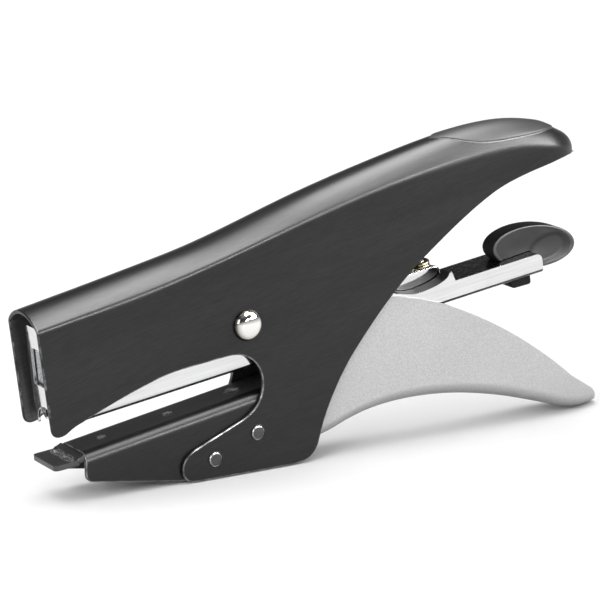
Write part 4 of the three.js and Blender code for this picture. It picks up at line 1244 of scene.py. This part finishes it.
def build_floor():
    floor = add_object("studio_floor", [(-6, -6, 0), (6, -6, 0), (6, 6, 0), (-6, 6, 0)],
                       [[0, 1, 2, 3]])
    floor.location.z = -0.0003
    material, tree, shader = new_material("pale_floor")
    paper = noise(tree, 30, 2.0)
    tones = two_tones(tree, paper, (0.93, 0.93, 0.93), (0.95, 0.95, 0.95))
    surface(tree, shader, tones, 0.9, specular=0.1)
    floor.data.materials.append(material)


def softbox(name, where, target, size, power, lights_matt):
    light = bpy.data.lights.new(name, "AREA")
    light.shape = "RECTANGLE"
    light.size, light.size_y = size
    light.energy = power
    obj = into_scene(name, light)
    obj.location = where
    obj.rotation_euler = (Vector(target) - Vector(where)).to_track_quat("-Z", "Y").to_euler()
    obj.visible_camera = False
    obj.visible_diffuse = lights_matt


def sun_from_above():
    """Broad, very soft key light, so that the shadow stays under the stapler."""
    sun = bpy.data.lights.new("key", "SUN")
    sun.energy = 1.25
    sun.angle = radians(50)
    into_scene("key", sun).rotation_euler = (radians(-6), radians(-8), 0)


def build_world():
    """White backdrop and even fill. Reflections see a lit ceiling and a pale line at the horizon."""
    world = bpy.data.worlds.new("studio")
    bpy.context.scene.world = world
    world.use_nodes = True
    world.cycles.sampling_method = "NONE"
    tree = world.node_tree
    background = tree.nodes["Background"]
    background.inputs["Color"].default_value = (1, 1, 1, 1)
    paths = add_node(tree, "ShaderNodeLightPath").outputs
    way = axes(tree, add_node(tree, "ShaderNodeTexCoord").outputs["Generated"])
    ceiling = to_range(tree, way["Z"], 0.08, 0.8, 0.5, 0.9, "SMOOTHSTEP")
    depth = to_range(tree, way["Y"], 0.75, 1.0, -0.5, 0.45, "SMOOTHSTEP")
    horizon = to_range(tree, way["Z"], 0.9, 0.0, 0.02, 0.29)
    mirrored = arithmetic(tree, "MAXIMUM", arithmetic(tree, "MULTIPLY", ceiling, depth), horizon)
    lit = add_node(tree, "ShaderNodeMix", data_type="FLOAT", A=0.70)
    tree.links.new(paths["Is Glossy Ray"], lit.inputs["Factor"])
    tree.links.new(mirrored, lit.inputs["B"])
    seen = add_node(tree, "ShaderNodeMix", data_type="FLOAT", B=1.05)
    tree.links.new(paths["Is Camera Ray"], seen.inputs["Factor"])
    tree.links.new(lit.outputs["Result"], seen.inputs["A"])
    tree.links.new(seen.outputs["Result"], background.inputs["Strength"])


def build_camera():
    target, distance = Vector((-0.00731, 0, 0.03954)), 0.7457
    azimuth, elevation = radians(-31.34), radians(14.21)
    back = Vector((
        sin(azimuth) * cos(elevation),
        -cos(azimuth) * cos(elevation),
        sin(elevation),
    ))
    data = bpy.data.cameras.new("camera")
    data.sensor_width = 36
    data.lens = 180
    data.clip_start, data.clip_end = 0.01, 50
    camera = into_scene("camera", data)
    camera.location = target + back * distance
    camera.rotation_euler = (-back).to_track_quat("-Z", "Y").to_euler()
    bpy.context.scene.camera = camera


build_camera()
build_frame_shell()
build_cushion()
build_lower_jaw()
build_anvil()
build_rivets()
build_spring_bracket()
build_handle()
build_handle_spring()
build_magazine()
build_nose()
build_spring_seat()
build_rear_clip()
build_knob()
build_pusher()
finish_inner_nodes()
build_floor()
build_world()
sun_from_above()
softbox("top_sheen", (0.22, -0.08, 1.05), MIDDLE, (1.3, 0.34), 25, False)
softbox("front_crown", (0.34, -0.48, 0.86), MIDDLE, (0.9, 0.26), 5, False)
softbox("left_fill", (-0.9, -0.45, 0.42), MIDDLE, (0.5, 0.5), 5, True)
softbox("right_sheen", (0.74, -0.5, 0.63), (0.08, 0, 0.07), (0.5, 0.4), 15, False)
softbox("bend_strip", (0.62, -0.98, 0.48), MIDDLE, (1.5, 0.12), 26, False)

bpy.context.scene.view_settings.view_transform = "Standard"
bpy.context.view_layer.update()
